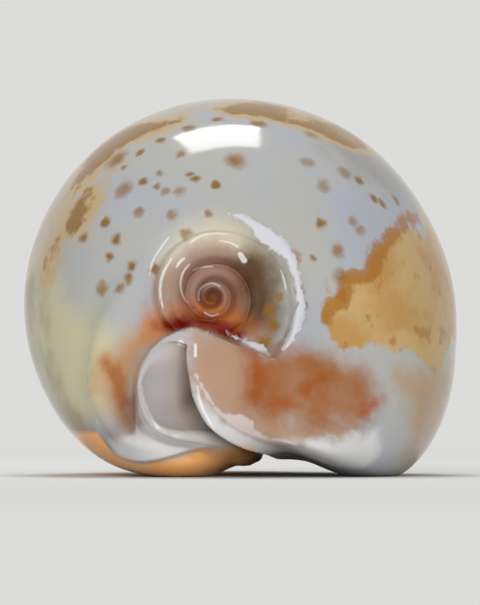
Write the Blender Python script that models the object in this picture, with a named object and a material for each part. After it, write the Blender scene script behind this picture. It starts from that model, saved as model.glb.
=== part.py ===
"""Umbilicate cowrie shell, one closed solid: body whorl, sunken spire, canals and slit-like mouth.

Frame: +Z is the back of the shell, -Y the spire end, +Y the front end and +X the outer-lip side.
The shell lies on its base on the plane z = 0. Lengths in this file are millimetres, angles degrees.
The surface follows growth: rows run round the coiling axis from the inner lip, over the back, to the
outer lip, and the columns run from the spire to the front end. The rows stay joined at both ends of
the shell and stand open between them, which leaves the slit.
"""
import bpy
import bmesh
import numpy as np

MILLIMETRE = 0.001
SHELL_NAME = "shell"
COLLECTION_NAME = "cowrie_shell"
CREAM_WHITE = (0.72, 0.68, 0.60, 1.0)
GLOSS_ROUGHNESS = 0.15

ROWS_BEFORE_SLIT = 16
ROWS_ALONG_SLIT = 44
ROWS_AFTER_SLIT = 2
COLUMNS_OUTSIDE = 60
COLUMNS_INSIDE = 35
STEPS_ROUND_LIP = 4
COLUMN_CROWDING = 0.5
EVEN_SHARE = 0.55
WELD_DISTANCE = 0.00001
FOOT_LEVEL = 0.35
SHIFT_X, SHIFT_Y = 0.12, 0.13

AXIS_X, AXIS_Z = -4.3, 27.3
SLIT_START, SLIT_END, LAST_ROW = 13.0, 170.0, 180.0
PIT_FLOOR = -34.6
PIT_CLIMB = 2.0
PIT_BULGE = 0.5
PIT_HUB = 1.2
PIT_STEEPNESS = 2.6
PIT_WALL = (0.84, 1.06)
WHORL_GROWTH = 2.0
WHORL_START = 2.0
CLEAR_OF_HUB = (0.2, 1.6)
CORE_SHARE = 0.26
CHAMBER_TURN = 285.0
CHAMBER_START = -62.0
CAP_ROWS, TAIL_ROWS = 55.0, 28.0
CAP_PUSH, TAIL_PUSH = 5.0, 2.0
JOIN = 0.10
JOIN_STEP = 0.01
JOIN_HANDLE = 0.08
WALL = 2.6
WALL_SHARE = 0.25

# Rows over which one outline gives way to the other, and over which the lips pull more gently.
FRONT_ROWS = (95.0, 150.0)
EARLY_ROWS = (60.0, 90.0)
SIDE_PULL = (26.0, 14.0)
LIP_PULL = 26.0
RIM_PULL = (1.1, 2.4)
RIM_ROWS = (34.0, 46.0)
REAR_PULL = 9.0
ARC_SHARE = 0.45
LEAST_GAP = 6.0
PULL_STARTS = 8.5
OUTER_CROWN_ROWS = (14.0, 20.0)
INNER_CROWN_ROWS = (20.0, 27.0)
CROWN_EDGE = (-0.35, 0.45)
SOFTEN_PASSES = 5
SOFTEN_REACH = 2.0

# Swellings and the hollow beside the canal: centre and width across X and Z, and height along Y.
HOLLOW = (-16.2, 2.4, 9.6, 2.8, -1.2)
LEFT_SWELLING = (-9.0, 9.0, 1.6, 2.4, 2.6)
FLANGE_SWELLING = (10.5, 8.0, 4.0, 3.6, 5.0)
SWELLING_ROWS = (36.0, 46.0, 70.0, 84.0)
LEFT_CLEAR = (1.0, 5.0)
FLANGE_CLEAR = (1.0, 6.0)
SHELF_RISE = 2.6
SHELF_SPAN = (-127.0, -112.0, -92.0, -80.0)
SHELF_EDGE = 0.5
SHELF_WIDTH = (7.0, 1.5)
BESIDE_ROWS = (66.0, 80.0)
BESIDE_CLEAR = 2.5
PIT_ROWS = 60.0


def ease(low, high, value):
    """Smooth step from 0 at low to 1 at high."""
    share = np.clip((np.asarray(value, float) - low) / (high - low), 0.0, 1.0)
    return share * share * share * (share * (6.0 * share - 15.0) + 10.0)


class Spline:
    """Natural cubic curve through rows of numbers: the first is the place, the rest are its values."""

    def __init__(self, points):
        rows = np.array(points, float)
        self.place, self.value = rows[:, 0], rows[:, 1:]
        self.gap = np.diff(self.place)
        count = len(self.place)
        system = np.eye(count)
        right = np.zeros_like(self.value)
        for i in range(1, count - 1):
            before, after = self.gap[i - 1], self.gap[i]
            system[i, i - 1:i + 2] = before, 2.0 * (before + after), after
            rise_after = (self.value[i + 1] - self.value[i]) / after
            rise_before = (self.value[i] - self.value[i - 1]) / before
            right[i] = 6.0 * (rise_after - rise_before)
        self.bend = np.linalg.solve(system, right)

    def __call__(self, place):
        place = np.clip(np.asarray(place, float), self.place[0], self.place[-1])
        i = np.clip(np.searchsorted(self.place, place, side="right") - 1, 0, len(self.gap) - 1)
        gap = self.gap[i][..., None]
        far = ((place - self.place[i]) / self.gap[i])[..., None]
        near = 1.0 - far
        line = near * self.value[i] + far * self.value[i + 1]
        curl = (near ** 3 - near) * self.bend[i] + (far ** 3 - far) * self.bend[i + 1]
        result = line + gap * gap / 6.0 * curl
        return result[..., 0] if result.shape[-1] == 1 else result


def ring(points):
    """Curve that closes on itself over a full turn, from (angle, value) pairs in rising order."""
    before = [(angle - 360.0, value) for angle, value in points[-4:]]
    after = [(angle + 360.0, value) for angle, value in points[:4]]
    return Spline(before + list(points) + after)


def turned(angle):
    """The same angle between -180 and 180."""
    return (np.asarray(angle, float) + 180.0) % 360.0 - 180.0


# Outline round the coiling axis at the widest place, and near the front end.
GIRTH = ring([(-165, 28.7), (-150, 29.1), (-135, 29.6), (-120, 29.3), (-105, 28.1), (-90, 26.9), (-74, 25.1),
              (-62, 27.8), (-52, 34.85), (-46, 38.15), (-38, 39.5), (-31, 39.4), (-21, 38.5), (-12, 37.4),
              (0, 36.4), (20, 34.5),
              (45, 32.6), (70, 30.7), (95, 29.4), (125, 28.4), (155, 28.0), (178, 28.3)])
FRONT = ring([(-165, 30.5), (-140, 30.0), (-115, 28.3), (-90, 26.0), (-65, 28.3), (-40, 30.5), (-15, 30.5),
              (15, 30.0), (50, 30.0), (90, 30.0), (130, 30.0), (165, 30.0)])
# Meridians from the spire (0) to the front end (180): share of the outline, and place along Y.
BACK = Spline([(0, 0, -40.5), (15, .26, -40.0), (30, .50, -37.2), (45, .71, -32.0), (60, .87, -25.0),
               (75, .965, -17.0), (90, 1, -8.0), (105, .965, 2.5), (120, .84, 13.5), (135, .63, 24.5),
               (150, .375, 34.5), (165, .16, 42.5), (180, 0, 47.0)])
FLANK = Spline([(0, 0, -40.5), (15, .26, -40.1), (30, .50, -37.8), (45, .71, -33.4), (60, .87, -26.4),
                (75, .965, -17.5), (90, 1, -8.0), (105, .97, 2.5), (120, .86, 13.5), (135, .67, 25.0),
                (150, .43, 35.5), (165, .20, 43.0), (180, 0, 47.0)])
BASE = Spline([(0, 0, -40.5), (15, .26, -40.6), (30, .50, -40.6), (45, .72, -40.4), (56, .875, -39.2),
               (66, .96, -36.0), (77, 1, -28.5), (90, 1, -17.0), (105, 1, -1.5), (120, .968, 13.5),
               (135, .83, 27.0), (150, .60, 37.5), (165, .32, 44.0), (180, 0, 47.0)])
CENTRE = Spline([(0, AXIS_X, AXIS_Z), (30, AXIS_X, AXIS_Z), (60, AXIS_X, AXIS_Z), (90, AXIS_X, AXIS_Z),
                 (105, -4.0, 27.2), (120, -3.2, 26.4), (135, -2.2, 24.0), (150, -1.4, 19.6),
                 (165, -1.0, 14.3), (180, -1.0, 10.0)])
# Angle at which each row starts and ends.
SEAM = Spline([(0, -127), (13, -127), (22, -114), (32, -105), (42, -96), (52, -88), (62, -80), (75, -73),
               (90, -70), (110, -70), (130, -76), (150, -86), (165, -90), (180, -90)])
# Edge of the spire pit round the axis.
PIT_EDGE = ring([(-170, 9.0), (-150, 8.6), (-130, 8.2), (-110, 7.8), (-85, 7.8), (-65, 8.4), (-50, 10.0),
                 (-38, 12.3), (-20, 13.3), (0, 13.4), (45, 12.9), (90, 11.6), (135, 10.2), (165, 9.4)])
# Outline of the callus that carries the canal, across X and Z: over its top and down its left side.
CROWN = ((-7.25, 22.85), (-9.5, 22.35), (-11.6, 21.3), (-13.7, 19.3), (-15.0, 16.5), (-15.6, 13.4),
         (-15.6, 4.0), (20.0, 4.0), (20.0, 12.0), (8.0, 17.0), (4.0, 18.7), (1.2, 19.8), (-1.2, 20.5),
         (-2.9, 21.3), (-4.9, 22.2))
# Lower edge of the callus shelf round the axis.
SHELF_LEDGE = Spline([(-128, 28.0), (-120, 27.6), (-114, 27.0), (-107, 25.3), (-100, 23.6), (-94, 22.7),
                      (-80, 22.4)])
# The two lips, by row: X, Y and Z of the edge.
INNER_LIP = Spline([(13, -8.0, -46.0, 20.1), (14.5, -9.3, -46.05, 20.6), (16, -10.7, -46.15, 20.6),
                    (18, -12.1, -46.3, 20.0), (20, -13.1, -46.5, 19.1), (22, -13.9, -46.7, 18.1),
                    (27, -15.1, -47.0, 15.6), (33, -15.3, -47.0, 13.2), (39, -14.8, -46.8, 10.4),
                    (45, -13.5, -46.2, 8.1), (50, -11.2, -45.0, 6.5), (55, -8.1, -43.2, 5.7),
                    (60, -4.8, -40.6, 5.2), (66, -2.2, -36.6, 4.4), (75, -.4, -29.0, 3.2),
                    (90, .9, -16.0, 2.3), (110, 1.3, 3.5, 2.2), (130, .1, 22.0, 2.7), (150, -2.2, 36.8, 4.2),
                    (160, -3.2, 42.4, 5.5), (165, -3.0, 44.4, 6.4), (168, -2.2, 45.4, 7.2),
                    (170, -.8, 45.9, 7.9)])
OUTER_LIP = Spline([(13, -8.0, -46.0, 20.1), (15, -7.9, -46.1, 19.3), (18, -7.7, -46.35, 18.2),
                    (22, -7.4, -46.7, 16.8), (27, -6.9, -46.9, 14.9), (33, -6.4, -46.9, 12.7),
                    (39, -5.5, -46.8, 10.3), (45, -4.3, -46.5, 8.1), (50, -2.9, -46.0, 6.7),
                    (55, -1.1, -45.0, 5.5), (60, .8, -43.2, 4.6), (66, 2.8, -39.8, 4.0),
                    (75, 4.6, -32.0, 3.5), (90, 5.8, -17.5, 3.2), (110, 6.3, 2.5, 3.0), (130, 5.2, 21.0, 3.2),
                    (150, 2.9, 36.2, 4.4), (160, 1.7, 42.0, 5.5), (165, 1.4, 44.2, 6.4),
                    (168, .6, 45.3, 7.2), (170, -.8, 45.9, 7.9)])
# From the outer edge of each lip to its inner edge, and how far the lip bulges between them.
INNER_DEPTH = Spline([(13, 0, 1.7, -.4), (14.5, .5, 1.2, -.5), (16, .9, .8, -.6), (18, 1.1, .5, -.6),
                      (22, 1.1, .35, -.4), (27, .9, .45, -.2), (33, .8, .5, .1), (39, .8, .5, .4),
                      (45, .8, .6, .8), (50, .6, .7, 1.4), (55, .3, .8, 2.0), (60, .2, .8, 2.3),
                      (66, 0, .4, 2.8), (75, 0, 0, 3.2), (150, 0, -.3, 3.0), (165, 0, -1.2, 2.2),
                      (170, 0, -1.8, 1.4)])
OUTER_DEPTH = Spline([(13, 0, 1.7, -.4), (15, .5, 1.1, -.5), (18, .7, 1.1, -.4), (22, .7, 1.6, -.1),
                      (27, .5, 2.1, .1), (33, .3, 2.4, .2), (45, .2, 2.2, .9), (50, .1, 1.9, 1.5),
                      (55, 0, 1.5, 2.1), (60, 0, 1.0, 2.7), (66, 0, .4, 3.2), (75, 0, 0, 3.6),
                      (150, 0, -.3, 3.2), (165, 0, -1.2, 2.2), (170, 0, -1.8, 1.4)])
INNER_BULGE = Spline([(13, 0, 0, 0), (20, 0, 0, 0), (27, 0, -.35, 0), (39, .05, -.5, 0), (50, .3, -.9, 0),
                      (60, .9, -.7, 0), (66, 1.0, -.4, 0), (75, 1.1, 0, 0), (150, 1.0, 0, 0),
                      (165, .8, 0, 0), (168, .6, -.2, -.3), (170, 0, -.5, -.6)])
OUTER_BULGE = Spline([(13, 0, 0, 0), (15, -.4, -.1, 0), (18, -.7, -.2, 0), (22, -.9, -.2, 0),
                      (45, -1.0, 0, 0), (66, -1.3, 0, 0), (75, -1.5, 0, 0), (150, -1.2, 0, 0),
                      (165, -.8, 0, 0), (168, -.6, -.2, -.3), (170, 0, -.5, -.6)])

# Row of the body that each row of the chamber follows.
CHAMBER_ROW = Spline([(13, 60), (40, 66.5), (60, 73), (75, 80.5), (90, 91), (110, 110), (130, 128),
                      (150, 142), (170, 152)])
# Which way the wall sets off behind each lip.
INNER_HEADING = Spline([(13, 0, 3.0, -1.5), (18, 3.2, 2.7, -1.0), (22, 6.0, 2.4, -.6),
                        (27, 7.4, 2.6, -.3), (33, 7.6, 2.7, 0), (39, 6.6, 2.8, 1.0), (45, 4.6, 3.0, 2.0),
                        (55, 1.4, 3.0, 3.0), (66, .5, 1.5, 4.0), (75, 0, 0, 5.0), (150, 0, 0, 4.0),
                        (170, 0, -3.0, .8)])
OUTER_HEADING = Spline([(13, 0, 3.0, -1.5), (15, .5, 2.9, -1.8), (18, 1.5, 2.7, -1.5), (22, 3.0, 2.5, -.8),
                        (33, 4.0, 2.5, 0), (45, 4.0, 3.0, 1.0), (55, 3.0, 3.0, 2.0), (66, 2.0, 1.5, 3.0),
                        (75, 1.5, 0, 4.0), (150, 1.0, 0, 3.0), (170, 0, -3.0, .8)])


def pit_stairs(radius, angle):
    """Place of the whorls along Y: a spiral of steps that climb outwards from the middle."""
    reach = np.log(np.hypot(radius, PIT_HUB) / WHORL_START) / np.log(WHORL_GROWTH)
    whorl = reach - ((180.0 - angle) % 360.0) / 360.0
    part = whorl - np.floor(whorl)
    rise = 1.0 - (1.0 - part) ** PIT_STEEPNESS
    clear = ease(*CLEAR_OF_HUB, radius)
    height = PIT_CLIMB * (reach + (rise - part) * clear)
    return PIT_FLOOR - height - PIT_BULGE * np.sin(np.pi * part) * clear


def crown_depth(point):
    """How far each point is inside the outline of the canal's callus, negative outside it."""
    flat = point[..., ::2]
    gap = np.full(point.shape[:-1], np.inf)
    inside = np.zeros(point.shape[:-1], bool)
    for (x0, z0), (x1, z1) in zip(CROWN, CROWN[1:] + CROWN[:1]):
        start, way = np.array([x0, z0]), np.array([x1 - x0, z1 - z0])
        share = np.clip(((flat - start) @ way) / (way @ way), 0.0, 1.0)
        gap = np.minimum(gap, np.linalg.norm(flat - start - share[..., None] * way, axis=-1))
        crosses = (flat[..., 1] < z0) != (flat[..., 1] < z1)
        slope = (x1 - x0) / (z1 - z0) if z1 != z0 else 0.0
        inside ^= crosses & (flat[..., 0] < x0 + (flat[..., 1] - z0) * slope)
    return np.where(inside, gap, -gap)


def smooth_body(angle, row):
    """Points of the whorl without its pit, canal and lips."""
    rise = np.sin(np.radians(angle))
    back = np.where(rise > 0.0, rise * rise, 0.0)[..., None]
    base = np.where(rise < 0.0, rise * rise, 0.0)[..., None]
    meridian = back * BACK(row) + base * BASE(row) + (1.0 - back - base) * FLANK(row)
    place = turned(angle)
    outline = GIRTH(place) + (FRONT(place) - GIRTH(place)) * ease(*FRONT_ROWS, row)
    radius = meridian[..., 0] * outline
    centre = CENTRE(row)
    across = centre[..., 0] + radius * np.cos(np.radians(angle))
    height = centre[..., 1] + radius * np.sin(np.radians(angle))
    return np.stack([across, meridian[..., 1], height], axis=-1)


def hump(value, centre, width):
    """Smooth bump of height 1."""
    return np.exp(-((value - centre) / width) ** 2)


def swelling(point, shape):
    """Rounded swelling by its centre and width across X and Z, and its height."""
    centre_x, width_x, centre_z, width_z, height = shape
    return height * hump(point[..., 0], centre_x, width_x) * hump(point[..., 2], centre_z, width_z)


def callus_shelf(radius, angle):
    """How far the callus below the canal stands out towards the spire end, with a ledge under it."""
    first, second, third, last = SHELF_SPAN
    span = ease(first, second, angle) * (1.0 - ease(third, last, angle))
    ledge = SHELF_LEDGE(angle)
    inside = 1.0 - ease(ledge - SHELF_EDGE, ledge + SHELF_EDGE, radius)
    outside = ease(ledge - SHELF_WIDTH[0], ledge - SHELF_WIDTH[1], radius)
    return SHELF_RISE * span * inside * outside


def blend(near, far, share):
    """Value between near (share 0) and far (share 1)."""
    return near + (far - near) * share


def outer_surface(turn, row):
    """Points of the outside: turn 0 is the inner lip and turn 1 the outer lip."""
    turn, row = np.broadcast_arrays(np.asarray(turn, float), np.asarray(row, float))
    point = smooth_body(SEAM(row) - 360.0 * turn, row)
    seam = smooth_body(SEAM(row), row)
    gap = np.hypot(seam[..., 0] - AXIS_X, seam[..., 2] - AXIS_Z)
    open_row = np.clip(row, SLIT_START, SLIT_END)
    rear_end = 1.0 - ease(SLIT_END, LAST_ROW, row)
    closed = (ease(PULL_STARTS, SLIT_START, row) * rear_end)[..., None]
    to_inner, to_outer = INNER_LIP(open_row) - seam, OUTER_LIP(open_row) - seam
    arc = np.radians(360.0) * np.maximum(gap, LEAST_GAP)
    inner_away, outer_away = turn * arc, (1.0 - turn) * arc
    late = ease(*EARLY_ROWS, row)
    side = np.minimum(blend(*SIDE_PULL, late), ARC_SHARE * arc)
    for shift, away in ((to_inner, inner_away), (to_outer, outer_away)):
        point[..., ::2] += (shift * closed)[..., ::2] * (1.0 - ease(0.0, side, away))[..., None]
    crown = ease(*CROWN_EDGE, crown_depth(point))
    rim = blend(*RIM_PULL, ease(*RIM_ROWS, row))
    near_inner = np.minimum(blend(rim, REAR_PULL, late), ARC_SHARE * arc)
    near_outer = np.minimum(blend(LIP_PULL, REAR_PULL, late), ARC_SHARE * arc)
    inner_share = np.maximum((row >= SLIT_START) * (1.0 - ease(0.0, near_inner, inner_away)),
                             crown * (1.0 - ease(*INNER_CROWN_ROWS, row)))
    outer_share = np.maximum(ease(*OUTER_CROWN_ROWS, row), crown * (row < OUTER_CROWN_ROWS[1]))
    outer_share = outer_share * (1.0 - ease(0.0, near_outer, outer_away))
    left = turn < 0.5
    shift_y = np.where(left, to_inner[..., 1] * inner_share, to_outer[..., 1] * outer_share)
    point[..., 1] += rear_end * shift_y
    flat_x, flat_z = point[..., 0] - AXIS_X, point[..., 2] - AXIS_Z
    radius = np.hypot(flat_x, flat_z)
    place = np.degrees(np.arctan2(flat_z, flat_x))
    beside = (1.0 - ease(*BESIDE_ROWS, row)) * ease(0.0, BESIDE_CLEAR, inner_away)
    point[..., 1] -= (callus_shelf(radius, place) * left + swelling(point, HOLLOW)) * beside
    forward = ease(*SWELLING_ROWS[:2], row) * (1.0 - ease(*SWELLING_ROWS[2:], row))
    point[..., 1] -= swelling(point, LEFT_SWELLING) * ease(*LEFT_CLEAR, inner_away) * forward * left
    point[..., 1] -= swelling(point, FLANGE_SWELLING) * ease(*FLANGE_CLEAR, outer_away) * forward * ~left
    sunk = (1.0 - ease(*PIT_WALL, radius / PIT_EDGE(place))) * (row < PIT_ROWS) * (1.0 - crown)
    point[..., 1] += (np.maximum(pit_stairs(radius, place), point[..., 1]) - point[..., 1]) * sunk
    return point


def soften_crown(points, closed_rows):
    """Round the steep edge of the callus by evening out the places along Y near it."""
    share = 0.5 * hump(crown_depth(points), 0.0, SOFTEN_REACH)
    share[closed_rows:, [0, 1, 2, -3, -2, -1]] = 0.0
    for _ in range(SOFTEN_PASSES):
        depth = points[..., 1]
        around = np.concatenate([depth[:, -2:-1], depth, depth[:, 1:2]], axis=1)
        mean = 0.25 * (around[:-2, 1:-1] + around[2:, 1:-1] + around[1:-1, :-2] + around[1:-1, 2:])
        depth[1:-1] += share[1:-1] * (mean - depth[1:-1])


def lip_surface(depth_share, row, edge, depth, bulge):
    """Points round one lip, from its outer edge (0) to its inner edge (1)."""
    swing = np.pi * np.asarray(depth_share, float)[..., None]
    half = 0.5 * depth(row)
    return edge(row) + half * (1.0 - np.cos(swing)) + bulge(row) * np.sin(swing)


def rounded_end(distance, reach):
    """Share of the chamber's width near one of its ends: a quarter circle from 0 to 1."""
    return np.sqrt(1.0 - (1.0 - np.clip(distance / reach, 0.0, 1.0)) ** 2)


def chamber_wall(along, side, row):
    """Chamber between the inner whorl (side -1) and the outer wall (side 1), from the slit onwards."""
    body_row = CHAMBER_ROW(row)
    cap = rounded_end(row - SLIT_START, CAP_ROWS)
    tail = rounded_end(SLIT_END - row, TAIL_ROWS)
    body = smooth_body(CHAMBER_START + CHAMBER_TURN * along, body_row)
    centre = CENTRE(body_row)
    middle = np.stack([centre[..., 0], body[..., 1], centre[..., 1]], axis=-1)
    reach = body - middle
    size = np.linalg.norm(reach, axis=-1)
    outer, inner = size - np.minimum(WALL, WALL_SHARE * size), CORE_SHARE * size
    radius = 0.5 * (outer + inner) + 0.5 * (outer - inner) * side * cap * tail
    point = middle + reach / size[..., None] * radius[..., None]
    point[..., 1] += TAIL_PUSH * (1.0 - tail) - CAP_PUSH * (1.0 - cap)
    return point


def passage(share, row, side, start, heading):
    """Smooth way from a lip's inner edge (share 0) into the chamber (share 1)."""
    join = chamber_wall(JOIN, side, row)
    after = chamber_wall(JOIN + JOIN_STEP, side, row)
    first = start + heading
    last = join - (after - join) * (JOIN / JOIN_HANDLE)
    share = share[..., None]
    left = 1.0 - share
    near = left ** 3 * start + 3.0 * left ** 2 * share * first
    return near + 3.0 * left * share ** 2 * last + share ** 3 * join


def inner_surface(turn, row):
    """Points of the chamber: up the inner whorl, round its far end and back inside the outer wall."""
    turn, row = np.broadcast_arrays(np.asarray(turn, float), np.asarray(row, float))
    along = 1.0 - np.abs(2.0 * turn - 1.0)
    side = np.sign(2.0 * turn - 1.0) * np.cbrt(1.0 - along ** 3)
    point = chamber_wall(along, side, row)
    share = np.clip(along / JOIN, 0.0, 1.0)
    side_at_join = np.cbrt(1.0 - JOIN ** 3)
    way_in = passage(share, row, -side_at_join, INNER_LIP(row) + INNER_DEPTH(row), INNER_HEADING(row))
    way_out = passage(share, row, side_at_join, OUTER_LIP(row) + OUTER_DEPTH(row), OUTER_HEADING(row))
    near_slit = (along < JOIN)[..., None]
    ends = np.where((turn < 0.5)[..., None], way_in, way_out)
    return np.where(near_slit, ends, point)


def add_patch(mesh, points):
    """Add a grid of faces whose corners are the given rows of points."""
    rows, columns = points.shape[:2]
    corners = bmesh.ops.create_grid(mesh, x_segments=columns - 1, y_segments=rows - 1, size=1.0)["verts"]
    for vertex, place in zip(corners, points.reshape(-1, 3)):
        vertex.co = (place[0] + SHIFT_X, place[1] + SHIFT_Y, max(place[2] - FOOT_LEVEL, 0.0))
        vertex.co *= MILLIMETRE


def growth_rows():
    """Row numbers from the spire to the front end, closer together round the canal's roof."""
    share = np.linspace(0.0, 1.0, ROWS_ALONG_SLIT + 1)
    before = np.linspace(0.0, SLIT_START, ROWS_BEFORE_SLIT + 1)[:-1]
    spacing = EVEN_SHARE * share + (1.0 - EVEN_SHARE) * share ** 3 * (2.0 - share)
    along = SLIT_START + (SLIT_END - SLIT_START) * spacing
    along[-1] = SLIT_END
    after = np.linspace(SLIT_END, LAST_ROW, ROWS_AFTER_SLIT + 1)[1:]
    return before, along, after


def column_turns(count):
    """Shares of a turn from lip to lip, closer together near the lips."""
    share = np.linspace(0.0, 1.0, count + 1)
    return share - COLUMN_CROWDING * np.sin(2.0 * np.pi * share) / (2.0 * np.pi)


def build_shell(material, collection):
    """Make the shell as one closed mesh."""
    before, along, after = growth_rows()
    rows = np.concatenate([before, along, after])[:, None]
    slit = along[:, None]
    mesh = bmesh.new()
    outside = outer_surface(column_turns(COLUMNS_OUTSIDE)[None, :], rows)
    first, last = len(before), len(before) + len(along) - 1
    outside[:first + 1, -1] = outside[:first + 1, 0]
    outside[last:, -1] = outside[last:, 0]
    outside[0] = outside[0, 0]
    outside[-1] = outside[-1, 0]
    soften_crown(outside, first)
    add_patch(mesh, outside)
    steps = np.linspace(0.0, 1.0, STEPS_ROUND_LIP + 1)[None, :]
    inner_rim = lip_surface(steps, slit, INNER_LIP, INNER_DEPTH, INNER_BULGE)
    outer_rim = lip_surface(steps, slit, OUTER_LIP, OUTER_DEPTH, OUTER_BULGE)
    inner_rim[:, 0] = outside[first:last + 1, 0]
    outer_rim[:, 0] = outside[first:last + 1, -1]
    add_patch(mesh, inner_rim)
    add_patch(mesh, outer_rim)
    chamber = inner_surface(column_turns(COLUMNS_INSIDE)[None, :], slit)
    chamber[:, 0] = inner_rim[:, -1]
    chamber[:, -1] = outer_rim[:, -1]
    half = (COLUMNS_INSIDE + 1) // 2
    for end in (0, -1):
        chamber[end, half:] = chamber[end, :half][::-1]
    add_patch(mesh, chamber)
    bmesh.ops.remove_doubles(mesh, verts=mesh.verts, dist=WELD_DISTANCE)
    bmesh.ops.recalc_face_normals(mesh, faces=mesh.faces)
    data = bpy.data.meshes.new(SHELL_NAME)
    mesh.to_mesh(data)
    mesh.free()
    data.shade_smooth()
    data.materials.append(material)
    shell = bpy.data.objects.new(SHELL_NAME, data)
    collection.objects.link(shell)
    return shell


def porcelain():
    """Glossy cream-white shell."""
    material = bpy.data.materials.new("porcelain")
    material.use_nodes = True
    finish = material.node_tree.nodes["Principled BSDF"]
    finish.inputs["Base Color"].default_value = CREAM_WHITE
    finish.inputs["Roughness"].default_value = GLOSS_ROUGHNESS
    finish.inputs["Metallic"].default_value = 0.0
    return material


def main():
    """Clear the scene and build the shell."""
    for old in list(bpy.data.objects):
        bpy.data.objects.remove(old, do_unlink=True)
    collection = bpy.data.collections.new(COLLECTION_NAME)
    bpy.context.scene.collection.children.link(collection)
    build_shell(porcelain(), collection)


main()
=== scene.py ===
"""Looks of an umbilicate cowrie shell: one closed, glossy, spotted shell standing on its base.

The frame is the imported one: metres, +Z is the back of the shell, -Y the spire end, +Y the front end and
+X the outer-lip side. The surface follows growth. Rows run round the coiling axis from the inner lip,
over the back, to the outer lip, and columns run from the spire to the front end. Sizes inside the shell
classes are millimetres and angles are degrees.
"""
import logging
from dataclasses import dataclass
from enum import Enum
from typing import Dict, List, Sequence, Tuple, Union

import bmesh
import bpy
import numpy as np
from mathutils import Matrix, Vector


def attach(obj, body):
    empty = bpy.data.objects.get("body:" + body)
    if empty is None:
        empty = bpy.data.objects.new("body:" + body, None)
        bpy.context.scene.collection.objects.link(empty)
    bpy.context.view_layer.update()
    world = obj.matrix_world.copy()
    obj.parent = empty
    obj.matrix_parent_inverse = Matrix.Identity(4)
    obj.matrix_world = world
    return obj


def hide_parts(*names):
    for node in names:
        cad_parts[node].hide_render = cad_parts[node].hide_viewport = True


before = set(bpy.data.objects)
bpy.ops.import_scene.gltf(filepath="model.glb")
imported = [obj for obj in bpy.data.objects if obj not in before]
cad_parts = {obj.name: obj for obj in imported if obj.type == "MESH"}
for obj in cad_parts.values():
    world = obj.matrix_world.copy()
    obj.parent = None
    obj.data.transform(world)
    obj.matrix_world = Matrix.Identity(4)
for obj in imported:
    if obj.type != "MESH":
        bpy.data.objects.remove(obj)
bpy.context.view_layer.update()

MILLIMETRE = 0.001
FAR_OFF = -6.0
CROWN_OVERLAP = 0.05
LAST_ROW = 180.0
Array = np.ndarray
Both = Tuple[Array, Array]
Pair = Tuple[float, float]
Rgb = Tuple[int, int, int]
Rows = Sequence[Tuple[float, ...]]
Socket = bpy.types.NodeSocket
Sockets = bpy.types.bpy_prop_collection

logging.basicConfig(level=logging.INFO, format="%(name)s: %(message)s")
log = logging.getLogger("cowrie")


def ease(low: float, high: float, value: Array) -> Array:
    """Smooth step from 0 at low to 1 at high.

    Args:
        low: Value at which the step starts.
        high: Value at which the step ends.
        value: Numbers to step.

    Returns:
        The share of the step for each value.
    """
    share = np.clip((np.asarray(value, float) - low) / (high - low), 0.0, 1.0)
    return share * share * share * (share * (6.0 * share - 15.0) + 10.0)


def hump(value: Array, centre: float, width: float) -> Array:
    """Smooth bump of height 1 round a centre."""
    return np.exp(-((value - centre) / width) ** 2)


def turned(angle: Array) -> Array:
    """The same angle between -180 and 180."""
    return (np.asarray(angle, float) + 180.0) % 360.0 - 180.0


class Curve:
    """Natural cubic curve through rows of numbers: the first is the place, the rest are its values."""

    def __init__(self, points: Rows) -> None:
        """Solve the curve.

        Args:
            points: Rows in rising order of place.
        """
        rows = np.array(points, float)
        self.place, self.value = rows[:, 0], rows[:, 1:]
        self.gap = np.diff(self.place)
        count = len(self.place)
        system = np.eye(count)
        right = np.zeros_like(self.value)
        for i in range(1, count - 1):
            before, after = self.gap[i - 1], self.gap[i]
            system[i, i - 1:i + 2] = before, 2.0 * (before + after), after
            rise_after = (self.value[i + 1] - self.value[i]) / after
            rise_before = (self.value[i] - self.value[i - 1]) / before
            right[i] = 6.0 * (rise_after - rise_before)
        self.bend = np.linalg.solve(system, right)

    def __call__(self, place: Array) -> Array:
        """Value of the curve.

        Args:
            place: Places to read the curve at.

        Returns:
            One value for each place, or a row of values where the curve has several.
        """
        place = np.clip(np.asarray(place, float), self.place[0], self.place[-1])
        i = np.clip(np.searchsorted(self.place, place, side="right") - 1, 0, len(self.gap) - 1)
        gap = self.gap[i][..., None]
        far = ((place - self.place[i]) / self.gap[i])[..., None]
        near = 1.0 - far
        line = near * self.value[i] + far * self.value[i + 1]
        curl = (near ** 3 - near) * self.bend[i] + (far ** 3 - far) * self.bend[i + 1]
        result = line + gap * gap / 6.0 * curl
        return result[..., 0] if result.shape[-1] == 1 else result


def ring(points: Rows) -> Curve:
    """Make a curve that closes on itself over a full turn.

    Args:
        points: Angle and value of each place, in rising order.

    Returns:
        The curve.
    """
    before = [(angle - 360.0, value) for angle, value in points[-4:]]
    after = [(angle + 360.0, value) for angle, value in points[:4]]
    return Curve(before + list(points) + after)


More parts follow.
